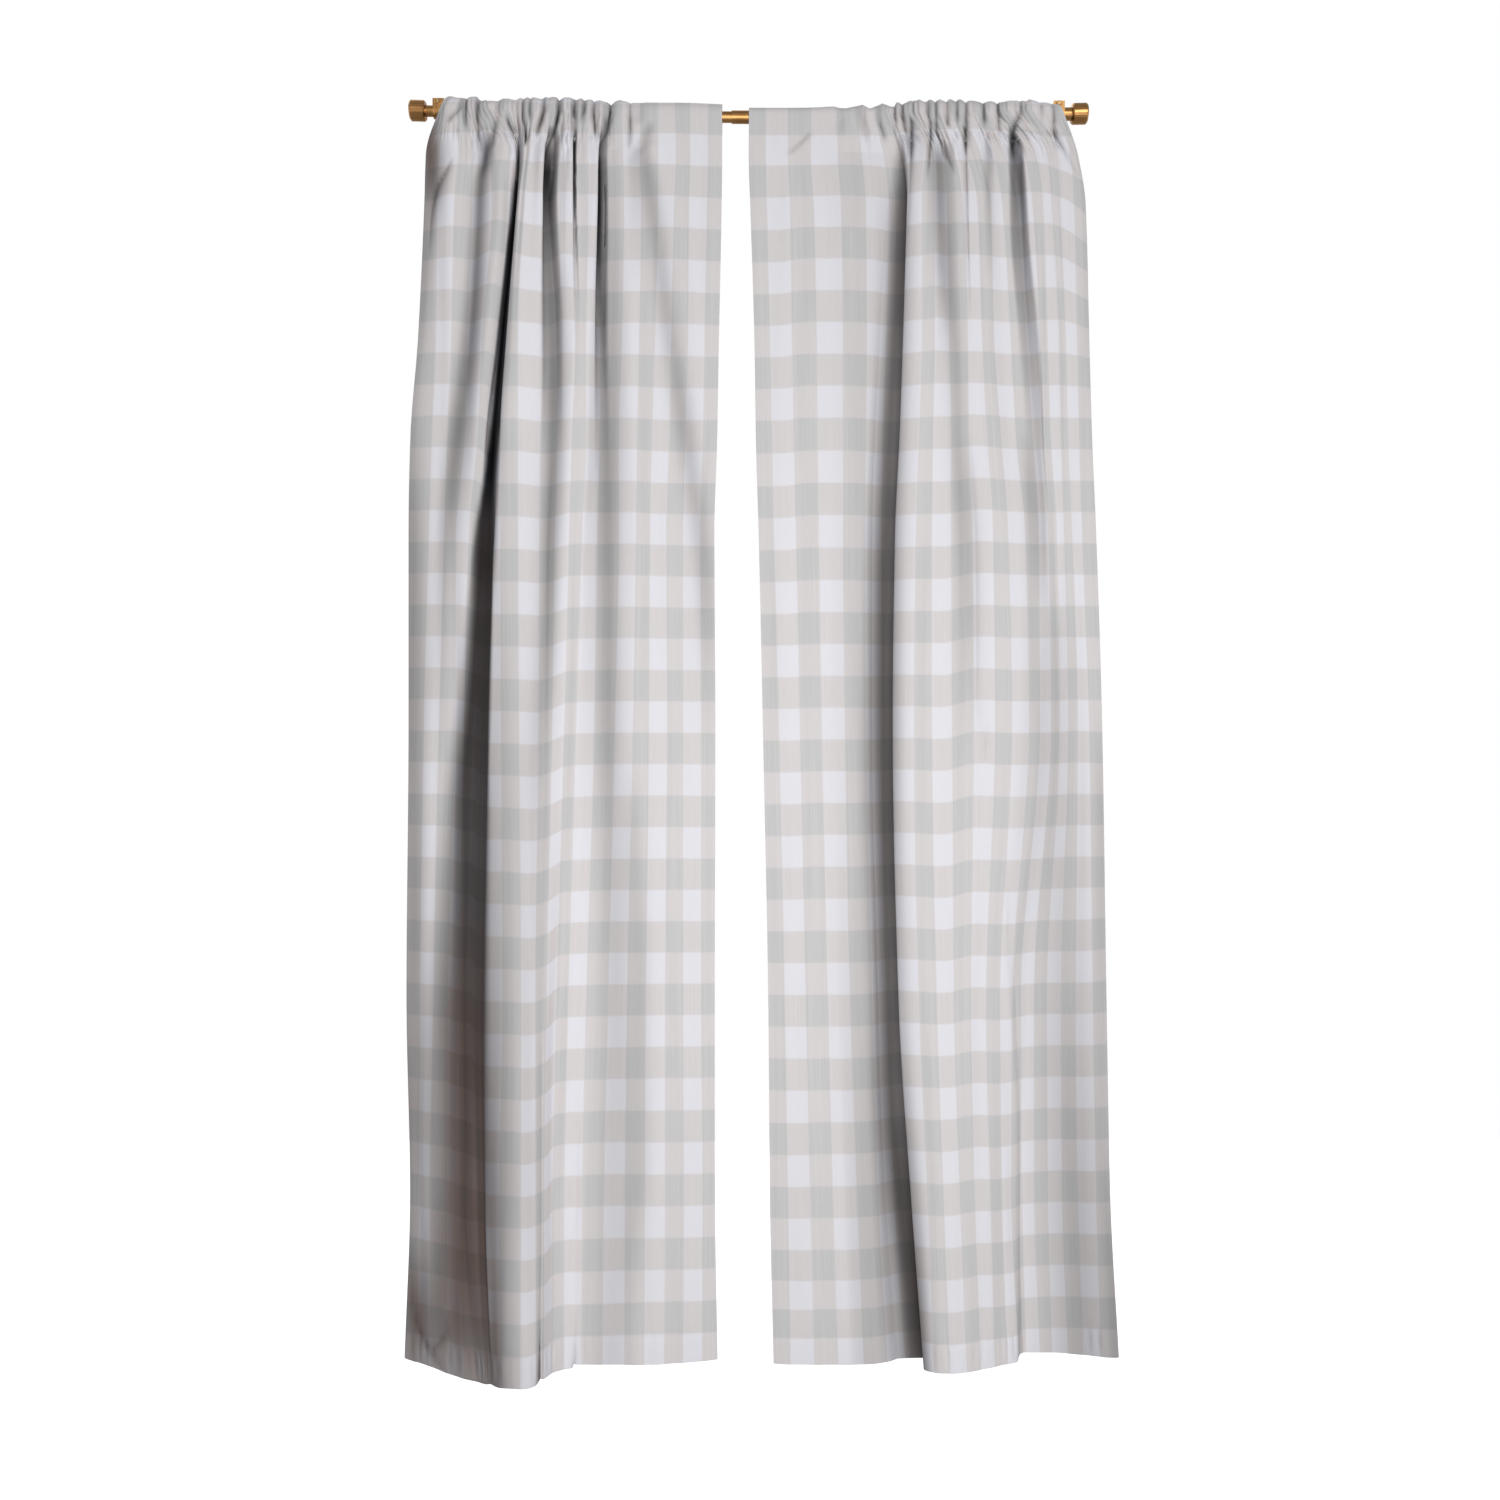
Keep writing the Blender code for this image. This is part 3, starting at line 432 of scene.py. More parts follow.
LEFT_HEADER_FOLDS = (
    Fold(CREASE, ((94, 452, 0, 3, 0), (106, 460, -8.1, 4, 0.43), (116, 451, -6.8, 4, 0.43),
         (124, 446, 0, 4, 0))),
    Fold(CREASE, ((92, 465.6, -8.1, 2.4, 0.43), (110, 465.6, -10.8, 2.6, 0.65), (124, 466, -5.4, 3, 0.29),
         (134, 466, 0, 3, 0))),
    Fold(CREASE, ((92, 477, -8.1, 3, 0.43), (112, 477, -13.5, 3.4, 0.66), (130, 478.5, -12.2, 4, 0.42),
         (160, 482, 0, 6, 0))),
    Fold(CREASE, ((92, 500, -8.1, 3, 0.43), (112, 497.5, -10, 3.2, 0.2), (130, 494, -10.8, 3.6, 0.58),
         (150, 491, 0, 5, 0))),
    Fold(CREASE, ((112, 506, 0, 2.6, 0), (122, 508.6, -8.1, 3, 0.51), (132, 512, -5.4, 3, 0.29),
         (142, 514, 0, 3, 0))),
    Fold(CREASE, ((92, 516, -5.4, 2.4, 0.29), (110, 517, -10, 2.6, 0.1), (130, 518.6, -14, 3, 0.3),
         (160, 518, -21.6, 3, 1), (200, 515, -10.8, 2.6, 1), (220, 514, 0, 2.4, 0)), (12.2, 15.2)),
    Fold(CREASE, ((92, 522.4, -5.4, 2, 0.29), (117, 522.5, -13, 2.4, 0.5), (128, 525, -12, 2.2, 0.45),
         (137, 525.8, -13.5, 2.4, 1), (150, 524, 0, 2.4, 0))),
    Fold(CREASE, ((92, 530, -5.4, 2.4, 0.44), (110, 529.4, -8.1, 2.4, 0.5), (126, 530, 0, 2.4, 0))),
    Fold(CREASE, ((92, 547, -8.1, 2.6, 0.43), (108, 544, -13.5, 2.8, 0.72), (124, 539.5, -12.2, 3, 0.72),
         (140, 536, 0, 3, 0))),
    Fold(CREASE, ((92, 558.4, -10.8, 2.2, 0.58), (108, 558.6, -16.2, 2.4, 1), (118, 557, -13.5, 2.4, 1),
         (128, 554.8, -18.9, 2.6, 0.7), (138, 553, -27, 3, 0.8), (150, 551, -13.5, 3, 0.72),
         (160, 551, 0, 3, 0))),
    Fold(SOFT, ((112, 569, 0, 4, 0), (128, 569, 9.5, 5, 0), (138, 569, 10.8, 5, 0), (150, 568, 0, 5, 0))),
    Fold(CREASE, ((92, 574.2, -8.1, 2.2, 0.43), (110, 574, -16.2, 2.4, 1), (120, 574.4, -9, 2.4, 0.2),
         (136, 574.8, -14, 2.2, 0.6), (150, 574.8, 0, 2, 0))),
    Fold(CREASE, ((92, 588, -8.1, 2.4, 0.36), (106, 585, -12.2, 2.8, 0.65), (116, 582, -5.4, 3, 0.29),
         (126, 580, 0, 3, 0))),
    Fold(CREASE, ((92, 593, -6.8, 2, 0.36), (110, 593.6, -12.2, 2.2, 0.65), (130, 595, -9.5, 2.2, 0.51),
         (142, 596, 0, 2.4, 0))),
    Fold(SOFT, ((100, 600.5, 5.4, 2.6, 0), (120, 600.5, 9.5, 2.8, 0), (136, 600, 8.1, 3, 0),
         (146, 600, 0, 3, 0))),
    Fold(CREASE, ((96, 611, -10.8, 3, 0.58), (108, 610.6, -21.6, 3.2, 1), (124, 607, -26, 3.4, 0.84),
         (140, 603.6, -28, 3.4, 0.7), (152, 603.4, 0, 3.4, 0))),
    Fold(CREASE, ((92, 629.8, -4.1, 2, 0.22), (120, 629.8, -8.1, 2.2, 0.58), (138, 629.4, -6.8, 2.2, 0.51),
         (150, 629, 0, 2.2, 0))),
    Fold(SOFT, ((98, 638, 0, 5, 0), (114, 638, -5.4, 6, 0.14), (124, 640, 0, 6, 0))),
    Fold(SOFT, ((118, 649, 0, 5, 0), (128, 647, -5.4, 5, 0.26), (142, 642, -5.4, 6, 0.26),
         (158, 634, -5.4, 7, 0.22), (240, 634, -4.1, 8, 0.07), (300, 632, 0, 8, 0))),
    Fold(SOFT, ((138, 652, 0, 5, 0), (148, 652, 5.4, 6, 0), (170, 651, 2.7, 7, 0), (220, 650, 0, 7, 0))),
)

RIGHT_FOLDS = (
    # Recess on the front fold's left, darkened with painted shade
    Fold(RAMP, ((120, 911, 0, 10, 0), (150, 910, -2, 16, 0.6), (210, 907, -4, 22, 0.6),
         (300, 903.4, -4, 26, 0.5), (430, 900, -4, 30, 0.46), (560, 894.4, -4, 34, 0.46),
         (760, 894, -4, 36, 0.48), (916, 896, -4, 36, 0.4), (1042, 901, -4, 34, 0.38),
         (1168, 909, -4, 34, 0.68), (1294, 920, -4, 29, 0.92), (1376, 925, -4, 34, 0.76)),
         (3.4, 6.6), 0.0, 0.5),
    Fold(SOFT, ((150, 880, 0, 9, 0.05), (430, 873, 0, 10, 0.08), (790, 866, 0, 10, 0.1),
         (1000, 873, 0, 10, 0.14), (1105, 878, 0, 10, 0.3), (1200, 884, 0, 11, 0.36),
         (1300, 890, 0, 12, 0.36), (1376, 895, 0, 12, 0.3)), (3.4, 6.2), 0.0, 0.3),
    Fold(SOFT, ((138, 906, 0, 7, 0.2), (160, 904, 0, 9, 0.5), (223, 899, 0, 11, 0.62),
         (286, 896.6, 0, 11, 0.68), (349, 893, 0, 11, 0.67), (412, 889.4, 0, 11.6, 0.7),
         (475, 886.6, 0, 12, 0.72), (601, 882.8, 0, 13.6, 0.78), (727, 882, 0, 14, 0.78),
         (853, 884, 0, 14, 0.76), (979, 886.6, 0, 14, 0.74), (1042, 888.6, 0, 14, 0.78),
         (1105, 890.6, 0, 13.2, 0.76), (1168, 896, 0, 12.8, 0.78), (1231, 901.6, 0, 12, 0.74),
         (1294, 908, 0, 12, 0.66), (1376, 915, 0, 12, 0.55)), (3.8, 6.8), 0.0, 0.3),
    # Painted shade on the front fold's left edge
    Fold(SOFT, ((200, 911, 0, 8, 0), (300, 904, 0, 9, 0.26), (412, 900, 0, 9, 0.3),
         (560, 895, 0, 9.4, 0.34), (760, 893.6, 0, 9.4, 0.38), (930, 898, 0, 9.4, 0.3),
         (1105, 906, 0, 9, 0.22), (1230, 914, 0, 9, 0.26), (1376, 922, 0, 9, 0.3)), (6.1, 8.8)),
    Fold(SOFT, ((150, 856, 0, 16, 0.08), (400, 854, 0, 16, 0.08), (860, 852, 0, 16, 0.1),
         (1100, 858, 0, 18, 0.16), (1376, 868, 0, 18, 0.2)), (3.0, 5.6)),
    Fold(SOFT, ((1000, 900, 0, 8, 0), (1105, 905, 0, 9, 0.22), (1231, 915, 0, 10, 0.34),
         (1300, 919, 0, 10, 0.5), (1376, 925, 0, 9, 0.45)), (6.6, 8.6), 0.0, 1.0),
    # Creases under the header
    Fold(CREASE, ((106, 913, 0, 2.4, 0.2), (118, 911.6, -8, 3, 0.7), (140, 911.6, -12, 3.4, 0.9),
         (160, 911, -6, 3.4, 0.62), (185, 910, -3, 3.4, 0.4), (230, 908.4, 0, 3.4, 0.25),
         (270, 907, 0, 3, 0)), (5.6, 8.2)),
    Fold(CREASE, ((120, 931, -5, 1.8, 0.4), (138, 930.6, -9, 2.4, 0.6), (165, 929, -7, 2.4, 0.3),
         (182, 928, 0, 3, 0)), (7.2, 10.4)),
    Fold(SOFT, ((126, 989, 0, 4, 0.1), (150, 989, -5, 5, 0.4), (190, 989, -4, 5, 0.3),
         (290, 991, 0, 6, 0)), (9.8, 13.8)),
    Fold(SOFT, ((140, 938, 0, 7, 0.1), (165, 940, -10, 9, 0.58), (223, 942.6, -10, 9, 0.52),
         (286, 947, -8, 9, 0.42), (349, 954, -6, 8, 0.3), (412, 957, -5, 8, 0.25), (475, 958, -3, 8, 0.18),
         (560, 962, 0, 8, 0.06), (640, 964, 0, 8, 0)), (7.2, 11.4)),
    Fold(CREASE, ((138, 944, 0, 2, 0), (147, 945, -8, 2.6, 0.34), (166, 951, -5, 3, 0.2),
         (176, 955, 0, 3, 0)), (8.2, 12.0)),
    Fold(SOFT, ((136, 955, 0, 4, 0), (152, 955, 6, 5, 0), (168, 955, 4, 6, 0), (180, 955, 0, 6, 0)),
         (8.6, 12.6)),
    Fold(STEEP_RIGHT, ((126, 965, -6, 2.4, 0.6), (150, 966, -6, 3, 0.3), (240, 968, -4, 3, 0.2),
         (330, 970, 0, 3, 0)), (9.6, 13.0)),
    Fold(GAP, ((122, 1012, 0, 3, 0.4), (140, 1014.6, -6, 6, 0.76), (168, 1017, -9, 7.4, 0.74),
         (240, 1020, -9, 8.4, 0.54), (320, 1027.4, -7, 8.8, 0.4), (400, 1034, -5, 9, 0.26),
         (500, 1038, -3, 10, 0.1), (620, 1041, 0, 10, 0)), (11.6, 16.0)),
    Fold(STEEP_LEFT, ((120, 1023, 0, 6, 0), (170, 1024, 6, 8, 0), (260, 1027, 5, 9, 0),
         (360, 1034, 0, 9, 0)), (12.6, 17.2)),
    Fold(SOFT, ((430, 1026, 0, 10, 0), (475, 1031, 0, 10, 0.22), (538, 1037, 0, 10, 0.24),
         (620, 1040, 0, 10, 0)), (11.0, 17.5)),
    Fold(SOFT, ((560, 1044, 0, 16, 0), (664, 1050, 0, 22, 0.2), (900, 1060, 0, 30, 0.2),
         (1100, 1072, 0, 34, 0.3), (1240, 1078, 0, 34, 0.36), (1370, 1084, 0, 34, 0.38)), (12.0, 21.5)),
    Fold(SOFT, ((700, 1098, 0, 7, 0), (820, 1102, 0, 8, 0.2), (1100, 1104, 0, 9, 0.12),
         (1300, 1114, 0, 10, 0.36), (1376, 1118, 0, 10, 0.4)), (17.5, 21.5)),
    Fold(CREASE, ((126, 1053, -8, 2.4, 0.2), (142, 1060, -8, 2.8, 0.2), (160, 1071, -4, 3, 0.14),
         (176, 1080, 0, 3, 0)), (15.0, 21.0)),
    Fold(CREASE, ((430, 968, 0, 3, 0), (480, 972, -1.6, 3, 0.06), (560, 976, -2, 3, 0.08),
         (698, 977, -1.6, 3, 0.06), (740, 985, 0, 3, 0)), (8.0, 14.0)),
    Fold(SOFT, ((430, 960, 0, 9, 0), (475, 963, -3, 9, 0.16), (520, 965, -4, 9, 0.22),
         (601, 966, -5, 9, 0.2), (700, 966, -3, 9, 0.08), (760, 966, 0, 9, 0)), (8.0, 13.0)),
    Fold(CREASE, ((722, 992, 0, 3, 0), (735, 988, -4, 3, 0.25), (748, 984, 0, 3, 0)), (9.0, 14.0)),
    Fold(STEEP_RIGHT, ((820, 1005, 0, 5, 0), (930, 1006, 3, 6, 0), (1098, 1016.5, 4, 7, 0),
         (1366, 1018, 7, 7, 0)), (10.0, 17.0)),
    Fold(CREASE, ((900, 1007, 0, 2.6, 0), (1010, 1015, -3, 3, 0), (1150, 1020, -4, 3, 0),
         (1366, 1020, -12, 3, 0.25)), (11.0, 17.0)),
    Fold(SOFT, ((1240, 906, 0, 8, 0), (1300, 908, 0, 9, 0.14), (1366, 912, 0, 9, 0.16)),
         (4.8, 7.0), 0.0, 1.0),
)

RIGHT_HEADER_FOLDS = (
    Fold(SOFT, ((100, 840, 0, 5, 0), (122, 840, -4.8, 5, 0.14), (136, 841, 0, 6, 0))),
    Fold(SOFT, ((96, 858, -2.4, 3, 0), (112, 860, -7.2, 3.6, 0.29), (128, 864, -4.8, 4, 0.17),
         (140, 866, 0, 4, 0))),
    Fold(CREASE, ((96, 877, -3.6, 2.6, 0.04), (115, 878, -9.6, 3, 0.3), (130, 883, -7.2, 3, 0.34),
         (142, 886, 0, 3, 0))),
    Fold(CREASE, ((92, 895, -6, 2, 0.29), (112, 895, -10.8, 2.2, 0.52), (130, 896, 0, 2.6, 0))),
    Fold(CREASE, ((92, 903, -6, 2, 0.29), (112, 902.6, -12, 2.4, 0.57), (128, 905, -9.6, 3, 0.46),
         (142, 908, -7.2, 3, 0.34), (156, 908, 0, 3, 0))),
    Fold(CREASE, ((92, 912, -3.6, 2, 0.11), (108, 913, -7.2, 2.2, 0.29), (124, 915, 0, 2.4, 0))),
    Fold(CREASE, ((92, 925, -6, 2, 0.15), (110, 928, -10.8, 2.4, 0.26), (126, 930, -7.2, 2.2, 0.2),
         (140, 930.6, 0, 2, 0))),
    Fold(CREASE, ((92, 937, -4.8, 2, 0.15), (112, 936, -9.6, 2.2, 0.3), (130, 936.4, -9, 2.6, 0.45),
         (142, 941.4, -8, 2.6, 0.45), (152, 944, -4, 2.6, 0.2), (160, 946, 0, 2.4, 0))),
    Fold(CREASE, ((92, 946, -6, 2, 0.25), (118, 947.4, -10.8, 2.6, 0.3), (129, 947, 0, 2.4, 0))),
    Fold(CREASE, ((92, 956, -4.8, 2, 0.23), (112, 957, -9.6, 2.2, 0.4), (126, 958, 0, 2.4, 0))),
    Fold(CREASE, ((92, 967, -4.8, 2.2, 0.29), (118, 966, -9.6, 2.6, 0.52), (138, 966, -10.8, 2.6, 0.46),
         (156, 966, 0, 2.6, 0))),
    Fold(CREASE, ((92, 984, -6, 2.2, 0.23), (116, 984, -10.8, 2.6, 0.57), (128, 984, 0, 3, 0))),
    Fold(CREASE, ((92, 999, -6, 2.2, 0.29), (116, 998.4, -10.8, 2.6, 0.57), (130, 999, -4.8, 2.6, 0.23),
         (142, 1000, 0, 3, 0))),
    Fold(CREASE, ((92, 1028.6, -7.2, 2.4, 0.2), (112, 1020, -13.2, 2.8, 0.42),
         (128, 1013.6, -16.8, 3, 0.8), (142, 1012, -14.4, 3, 0.69), (158, 1013, 0, 3, 0))),
    Fold(CREASE, ((92, 1042, -4.8, 2.2, 0.17), (110, 1041, -7.2, 2.4, 0.14), (126, 1040, 0, 2.6, 0))),
    Fold(CREASE, ((104, 1054, -7.2, 2.2, 0.2), (124, 1053.6, -10.8, 2.4, 0.26),
         (140, 1056, -8.4, 2.6, 0.26), (150, 1060, 0, 3, 0))),
    Fold(CREASE, ((128, 811, 0, 3, 0), (136, 805, -4.8, 3.4, 0.34), (146, 794, -4.8, 3.4, 0.29),
         (154, 787, 0, 3, 0))),
)

# Top edge of each header: picture columns and rows
LEFT_TOP = (
    (440, 99), (448, 97.5), (456, 99.5), (461, 99), (465.6, 99.8), (470, 98.4), (476, 98), (480, 102.6),
    (487, 103), (494, 103), (502, 100), (508, 100.6), (514, 102), (518, 99.4), (522.4, 100), (526, 99),
    (529, 100), (532, 99), (540, 101), (544.6, 97.5), (547.5, 99.5), (551, 98.5), (556, 99), (558.6, 101),
    (563, 99), (574, 99.8), (576, 101.2), (580, 100), (585, 101.4), (591, 101), (593.4, 102.4), (598, 102),
    (601, 103), (607, 103), (610.6, 106), (615, 102), (619, 101), (626, 102.6), (630, 104), (634, 103.4),
    (660, 103.6), (690, 103.6), (722, 105),
)
RIGHT_TOP = (
    (749, 108.5), (780, 108.6), (805, 108.5), (820, 108), (834, 107), (840, 108.6), (847, 109), (856, 107),
    (863, 105), (870, 110), (876, 107), (883, 104.5), (891, 108.6), (894.6, 108), (898, 103.5), (904, 105.5),
    (911, 102.4), (921, 101.5), (925, 103.6), (930, 100.6), (936, 103), (941, 100.8), (946.4, 103),
    (951, 100.4), (956, 102.6), (961, 100.6), (967, 103.6), (972, 102), (984, 104.4), (992, 102.8),
    (998.6, 104.6), (1012, 102.4), (1024, 102), (1028, 103.4), (1031, 101), (1040, 103.6), (1050, 105),
    (1054, 105.4), (1060, 104.4),
)

# How far the hem hangs below its even height, by stripe
LEFT_HEM = (
    (0, -1), (1.67, 2), (3.67, 4), (6.67, 2), (7.02, 1.5), (7.14, 7.3), (8.67, 6), (9.67, 4), (10.2, 1),
    (10.32, 9), (10.7, 8), (13.2, 6), (13.67, 7.5), (14.67, 11), (15.67, 13.5), (16.67, 11), (17.67, 9),
    (18.67, 4), (20.5, -2),
)
RIGHT_HEM = (
    (0, 4), (4.67, 5), (7.0, 2), (8.67, 2), (11.67, 0), (13.6, -1), (13.72, -7), (14.67, -6), (16.67, -6),
    (18.67, -2), (20.5, -1),
)

LEFT_DRIFTS = (
    Drift(0.0, ((100, -3), (200, -3), (330, -1), (545, 0), (650, -2.5), (800, -3), (920, -4.5),
          (1040, -6.5), (1120, -5), (1300, -2.5), (1400, 0))),
    Drift(3.0, ((100, -5), (230, -7), (300, -5), (355, -2), (400, 0), (480, 1), (545, -1), (735, -3.4),
          (920, -5), (1050, -7), (1150, -5), (1300, -3.4), (1400, 0))),
    Drift(5.5, ((100, -3.4), (800, -3.4), (1000, -5), (1120, -5), (1240, -3.4), (1302, 0), (1400, 0))),
    Drift(8.4, ((100, -2), (260, -1.7), (330, 1), (420, 3), (545, 1.5), (700, 0), (860, -2), (950, -4.5),
          (1200, -5), (1290, -3), (1400, 0))),
    Drift(9.6, ((100, -3), (200, -4), (230, -6), (324, -2.5), (355, 0), (418, 4.6), (545, 8), (640, 10),
          (840, 9), (1067, 8.5), (1240, 6), (1302, 2), (1400, 0))),
    Drift(10.9, ((160, 0), (320, 10), (446, 14), (607, 17), (700, 17.5), (840, 15), (970, 13), (1067, 12),
          (1180, 8), (1300, 2), (1400, 0))),
    Drift(12.7, ((140, -6), (230, -6), (262, -4), (320, 6), (446, 12), (607, 17), (700, 16), (840, 11),
          (970, 8), (1067, 6), (1176, 3), (1300, 0), (1400, 0))),
    Drift(14.6, ((140, -8), (230, -8), (262, -6), (320, 6), (446, 12), (607, 17), (700, 16), (840, 10),
          (970, 12), (1067, 12), (1300, 0), (1400, 0))),
    Drift(15.4, ((140, -8), (230, -10), (262, -9), (320, -2), (446, 6), (607, 9), (700, 6), (766, 2),
          (923, 0), (1018, 1.5), (1081, 3), (1144, 5), (1239, 5), (1302, 4), (1400, 0))),
    Drift(16.6, ((140, -8), (200, -9), (230, -14), (262, -15), (330, -8), (420, -4), (700, -2), (970, 3),
          (1150, 4), (1300, 4), (1400, 0))),
    Drift(18.0, ((160, -6), (200, -8), (320, -6), (480, -7), (700, -7), (970, -4), (1150, -1), (1300, 1),
          (1400, 0))),
    Drift(20.5, ((160, -1), (320, -8), (700, -7.5), (1100, -6), (1240, -3), (1300, 0), (1400, 0))),
)

# Drifts of the right panel's flat part, at its inner edge and further in
RIGHT_EDGE_DRIFT = ((140, -3), (166, -5), (230, -2), (292, 0), (418, 1), (450, 3.4), (482, 6), (545, 7.5),
    (608, 9), (734, 10), (860, 12), (986, 13), (1081, 14), (1144, 17), (1239, 17.5), (1280, 16),
    (1302, 12), (1334, 7), (1365, 3), (1400, 0))
RIGHT_FLAT_DRIFT = ((140, -3), (166, -6), (230, -7), (292, -6.5), (355, -5), (418, -3.5), (450, -1),
    (513, 1.5), (576, 5), (639, 6.5), (734, 8), (860, 9.5), (986, 12.5), (1081, 14), (1144, 15),
    (1239, 16.5), (1275, 15), (1302, 10.5), (1334, 6), (1365, 3), (1400, 0))

RIGHT_DRIFTS = (
    Drift(0.0, RIGHT_EDGE_DRIFT),
    Drift(1.1, RIGHT_EDGE_DRIFT),
    Drift(2.2, RIGHT_FLAT_DRIFT),
    Drift(5.0, RIGHT_FLAT_DRIFT),
    Drift(7.0, ((140, -5), (166, -5), (230, -2), (355, 0), (418, 3), (513, 5), (608, 6.5), (734, 5.5),
          (860, 4), (1000, 2), (1100, 2.5), (1240, 2), (1300, 2), (1343, 0), (1400, 0))),
    Drift(9.2, ((150, -10), (230, -11), (292, -7), (355, -4.5), (418, 0), (513, 4), (608, 7), (734, 7.4),
          (860, 6.5), (986, 4), (1090, 2), (1280, 0), (1400, 0))),
    Drift(10.8, ((150, -9), (230, -9), (292, -5), (355, -4), (450, -5), (730, -5), (930, -3), (1280, -3),
          (1400, 0))),
    Drift(12.6, ((150, -10), (230, -9), (292, -5), (355, -4), (450, -2.5), (800, -2.5), (1049, 1),
          (1302, 2), (1400, 0))),
    Drift(17.0, ((150, -4), (230, -10), (300, -8), (355, -5), (450, -2), (640, -5), (860, -5), (1144, -4),
          (1302, -3), (1400, 0))),
    Drift(18.2, ((150, 0), (170, 0), (210, -8), (300, -9), (355, -5), (450, -3), (545, -5), (734, -6.5),
          (860, -6.5), (955, -5), (1144, -5), (1302, -3), (1400, 0))),
    Drift(20.5, ((140, 0), (165, 20), (210, 22), (300, 8), (420, -4), (545, -5), (734, -5), (860, -7),
          (955, -9), (1113, -8), (1302, -5), (1400, 0))),
)


@dataclass(frozen=True)
class Make:
    """How every panel is cut and sewn.

    The turned hem lies turn_gap behind the face, its tip turn_tip of that, and further back at the
    corners, where the side hems are turned over it. A side hem is side_turn stripes wide and comes back
    in side_steps, shares of that width. rod_room is the least distance of the face from the rod's middle.
    """

    hem_drop: float = 2132.0
    cut_width: float = 914.0
    cut_length: float = 2250.0
    stripes: float = 20.5
    half_cloth: float = 0.6
    stitch_below_rod: float = 42.0
    hem_turn: float = 46.0
    turn_gap: float = 1.7
    turn_tip: float = 0.75
    turn_tip_rise: float = 1.0
    corner_reach: float = 2.4
    corner_gap: float = 2.0
    side_turn: float = 0.4
    side_steps: tuple[float, ...] = (0.12, 0.4, 0.75, 1.0)
    side_gaps: tuple[float, ...] = (0.8, 1.0, 1.0, 1.0)
    band_height: float = 53.64
    first_band: float = 48.1
    rod_room: float = 13.2
    sharp_angle: float = 70.0


@dataclass(frozen=True)
class MeshRows:
    """Drops below the rod's line where the mesh has rows, closer together where the cloth bends more."""

    hem: tuple[float, ...] = (2132.0, 2129.0, 2122.0, 2112.0, 2101.0, 2093.0, 2088.0, 2084.0, 2078.0)
    long_part: tuple[float, float, float] = (2066.0, 340.0, -38.0)
    upper_part: tuple[float, float, float] = (330.0, 100.0, -7.5)
    under_header: tuple[float, float, float] = (100.0, 44.0, -3.6)
    pocket: tuple[float, ...] = (42.0, 39.0, 35.5, 31.5, 27.5, 23.5, 19.5, 15.5, 11.5, 7.5, 3.5, 0.0)
    turned: int = 7

    def drops(self) -> Grid:
        """Give all the drops, from the hem up to the rod."""
        spans = [np.arange(*span) for span in (self.long_part, self.upper_part, self.under_header)]
        return np.concatenate([self.hem, *spans, self.pocket])


@dataclass(frozen=True)
class Tunnel:
    """How the cloth goes over the rod, down behind it and in to the seam.

    crown holds the least and greatest rise over the rod's middle. The back stands at back_depth, takes
    back_pleats of the face's pleats, and follows the face by back_follow where that is further forward
    than follow_from. The columns reach their places at the top within the first of top_part parts of
    the arc, and the painted fold shade fades out within shade_part of it.
    """

    crown: tuple[float, float] = (13.0, 30.0)
    back_depth: float = -14.0
    back_pleats: float = 0.3
    back_follow: float = 0.25
    follow_from: float = 16.0
    smooth_reach: int = 12
    arc_steps: int = 12
    top_part: float = 3.0
    way_down: tuple[float, ...] = (0.12, 0.26, 0.42, 0.58, 0.74, 0.88, 0.97, 1.0)
    inward_curve: float = 2.2
    seam_gap: float = 2.0
    seam_inward: float = 2.4
    seam_ends: tuple[float, float] = (3.0, 6.0)
    outer_inset: float = 3.4
    outer_reach: float = 0.6
    shade_part: float = 0.75


@dataclass(frozen=True)
class Wave:
    """A wave across the stripes, in millimetres, whose pace swings so that its crests are uneven.

    slant is how fast its crests wander sideways on the way down.
    """

    height: float
    pace: float
    swing: float = 0.0
    swing_pace: float = 0.0
    start: float = 0.0
    slant: float = 0.0

    def at(self, stripes: Grid, drops: Grid, push: Any = 0.0) -> Grid:
        """Give the wave at stripes and drops, pushed along by another wave."""
        swing = self.swing * np.sin(self.swing_pace * stripes)
        return self.height * np.sin(self.pace * stripes + swing + self.start + self.slant * drops + push)


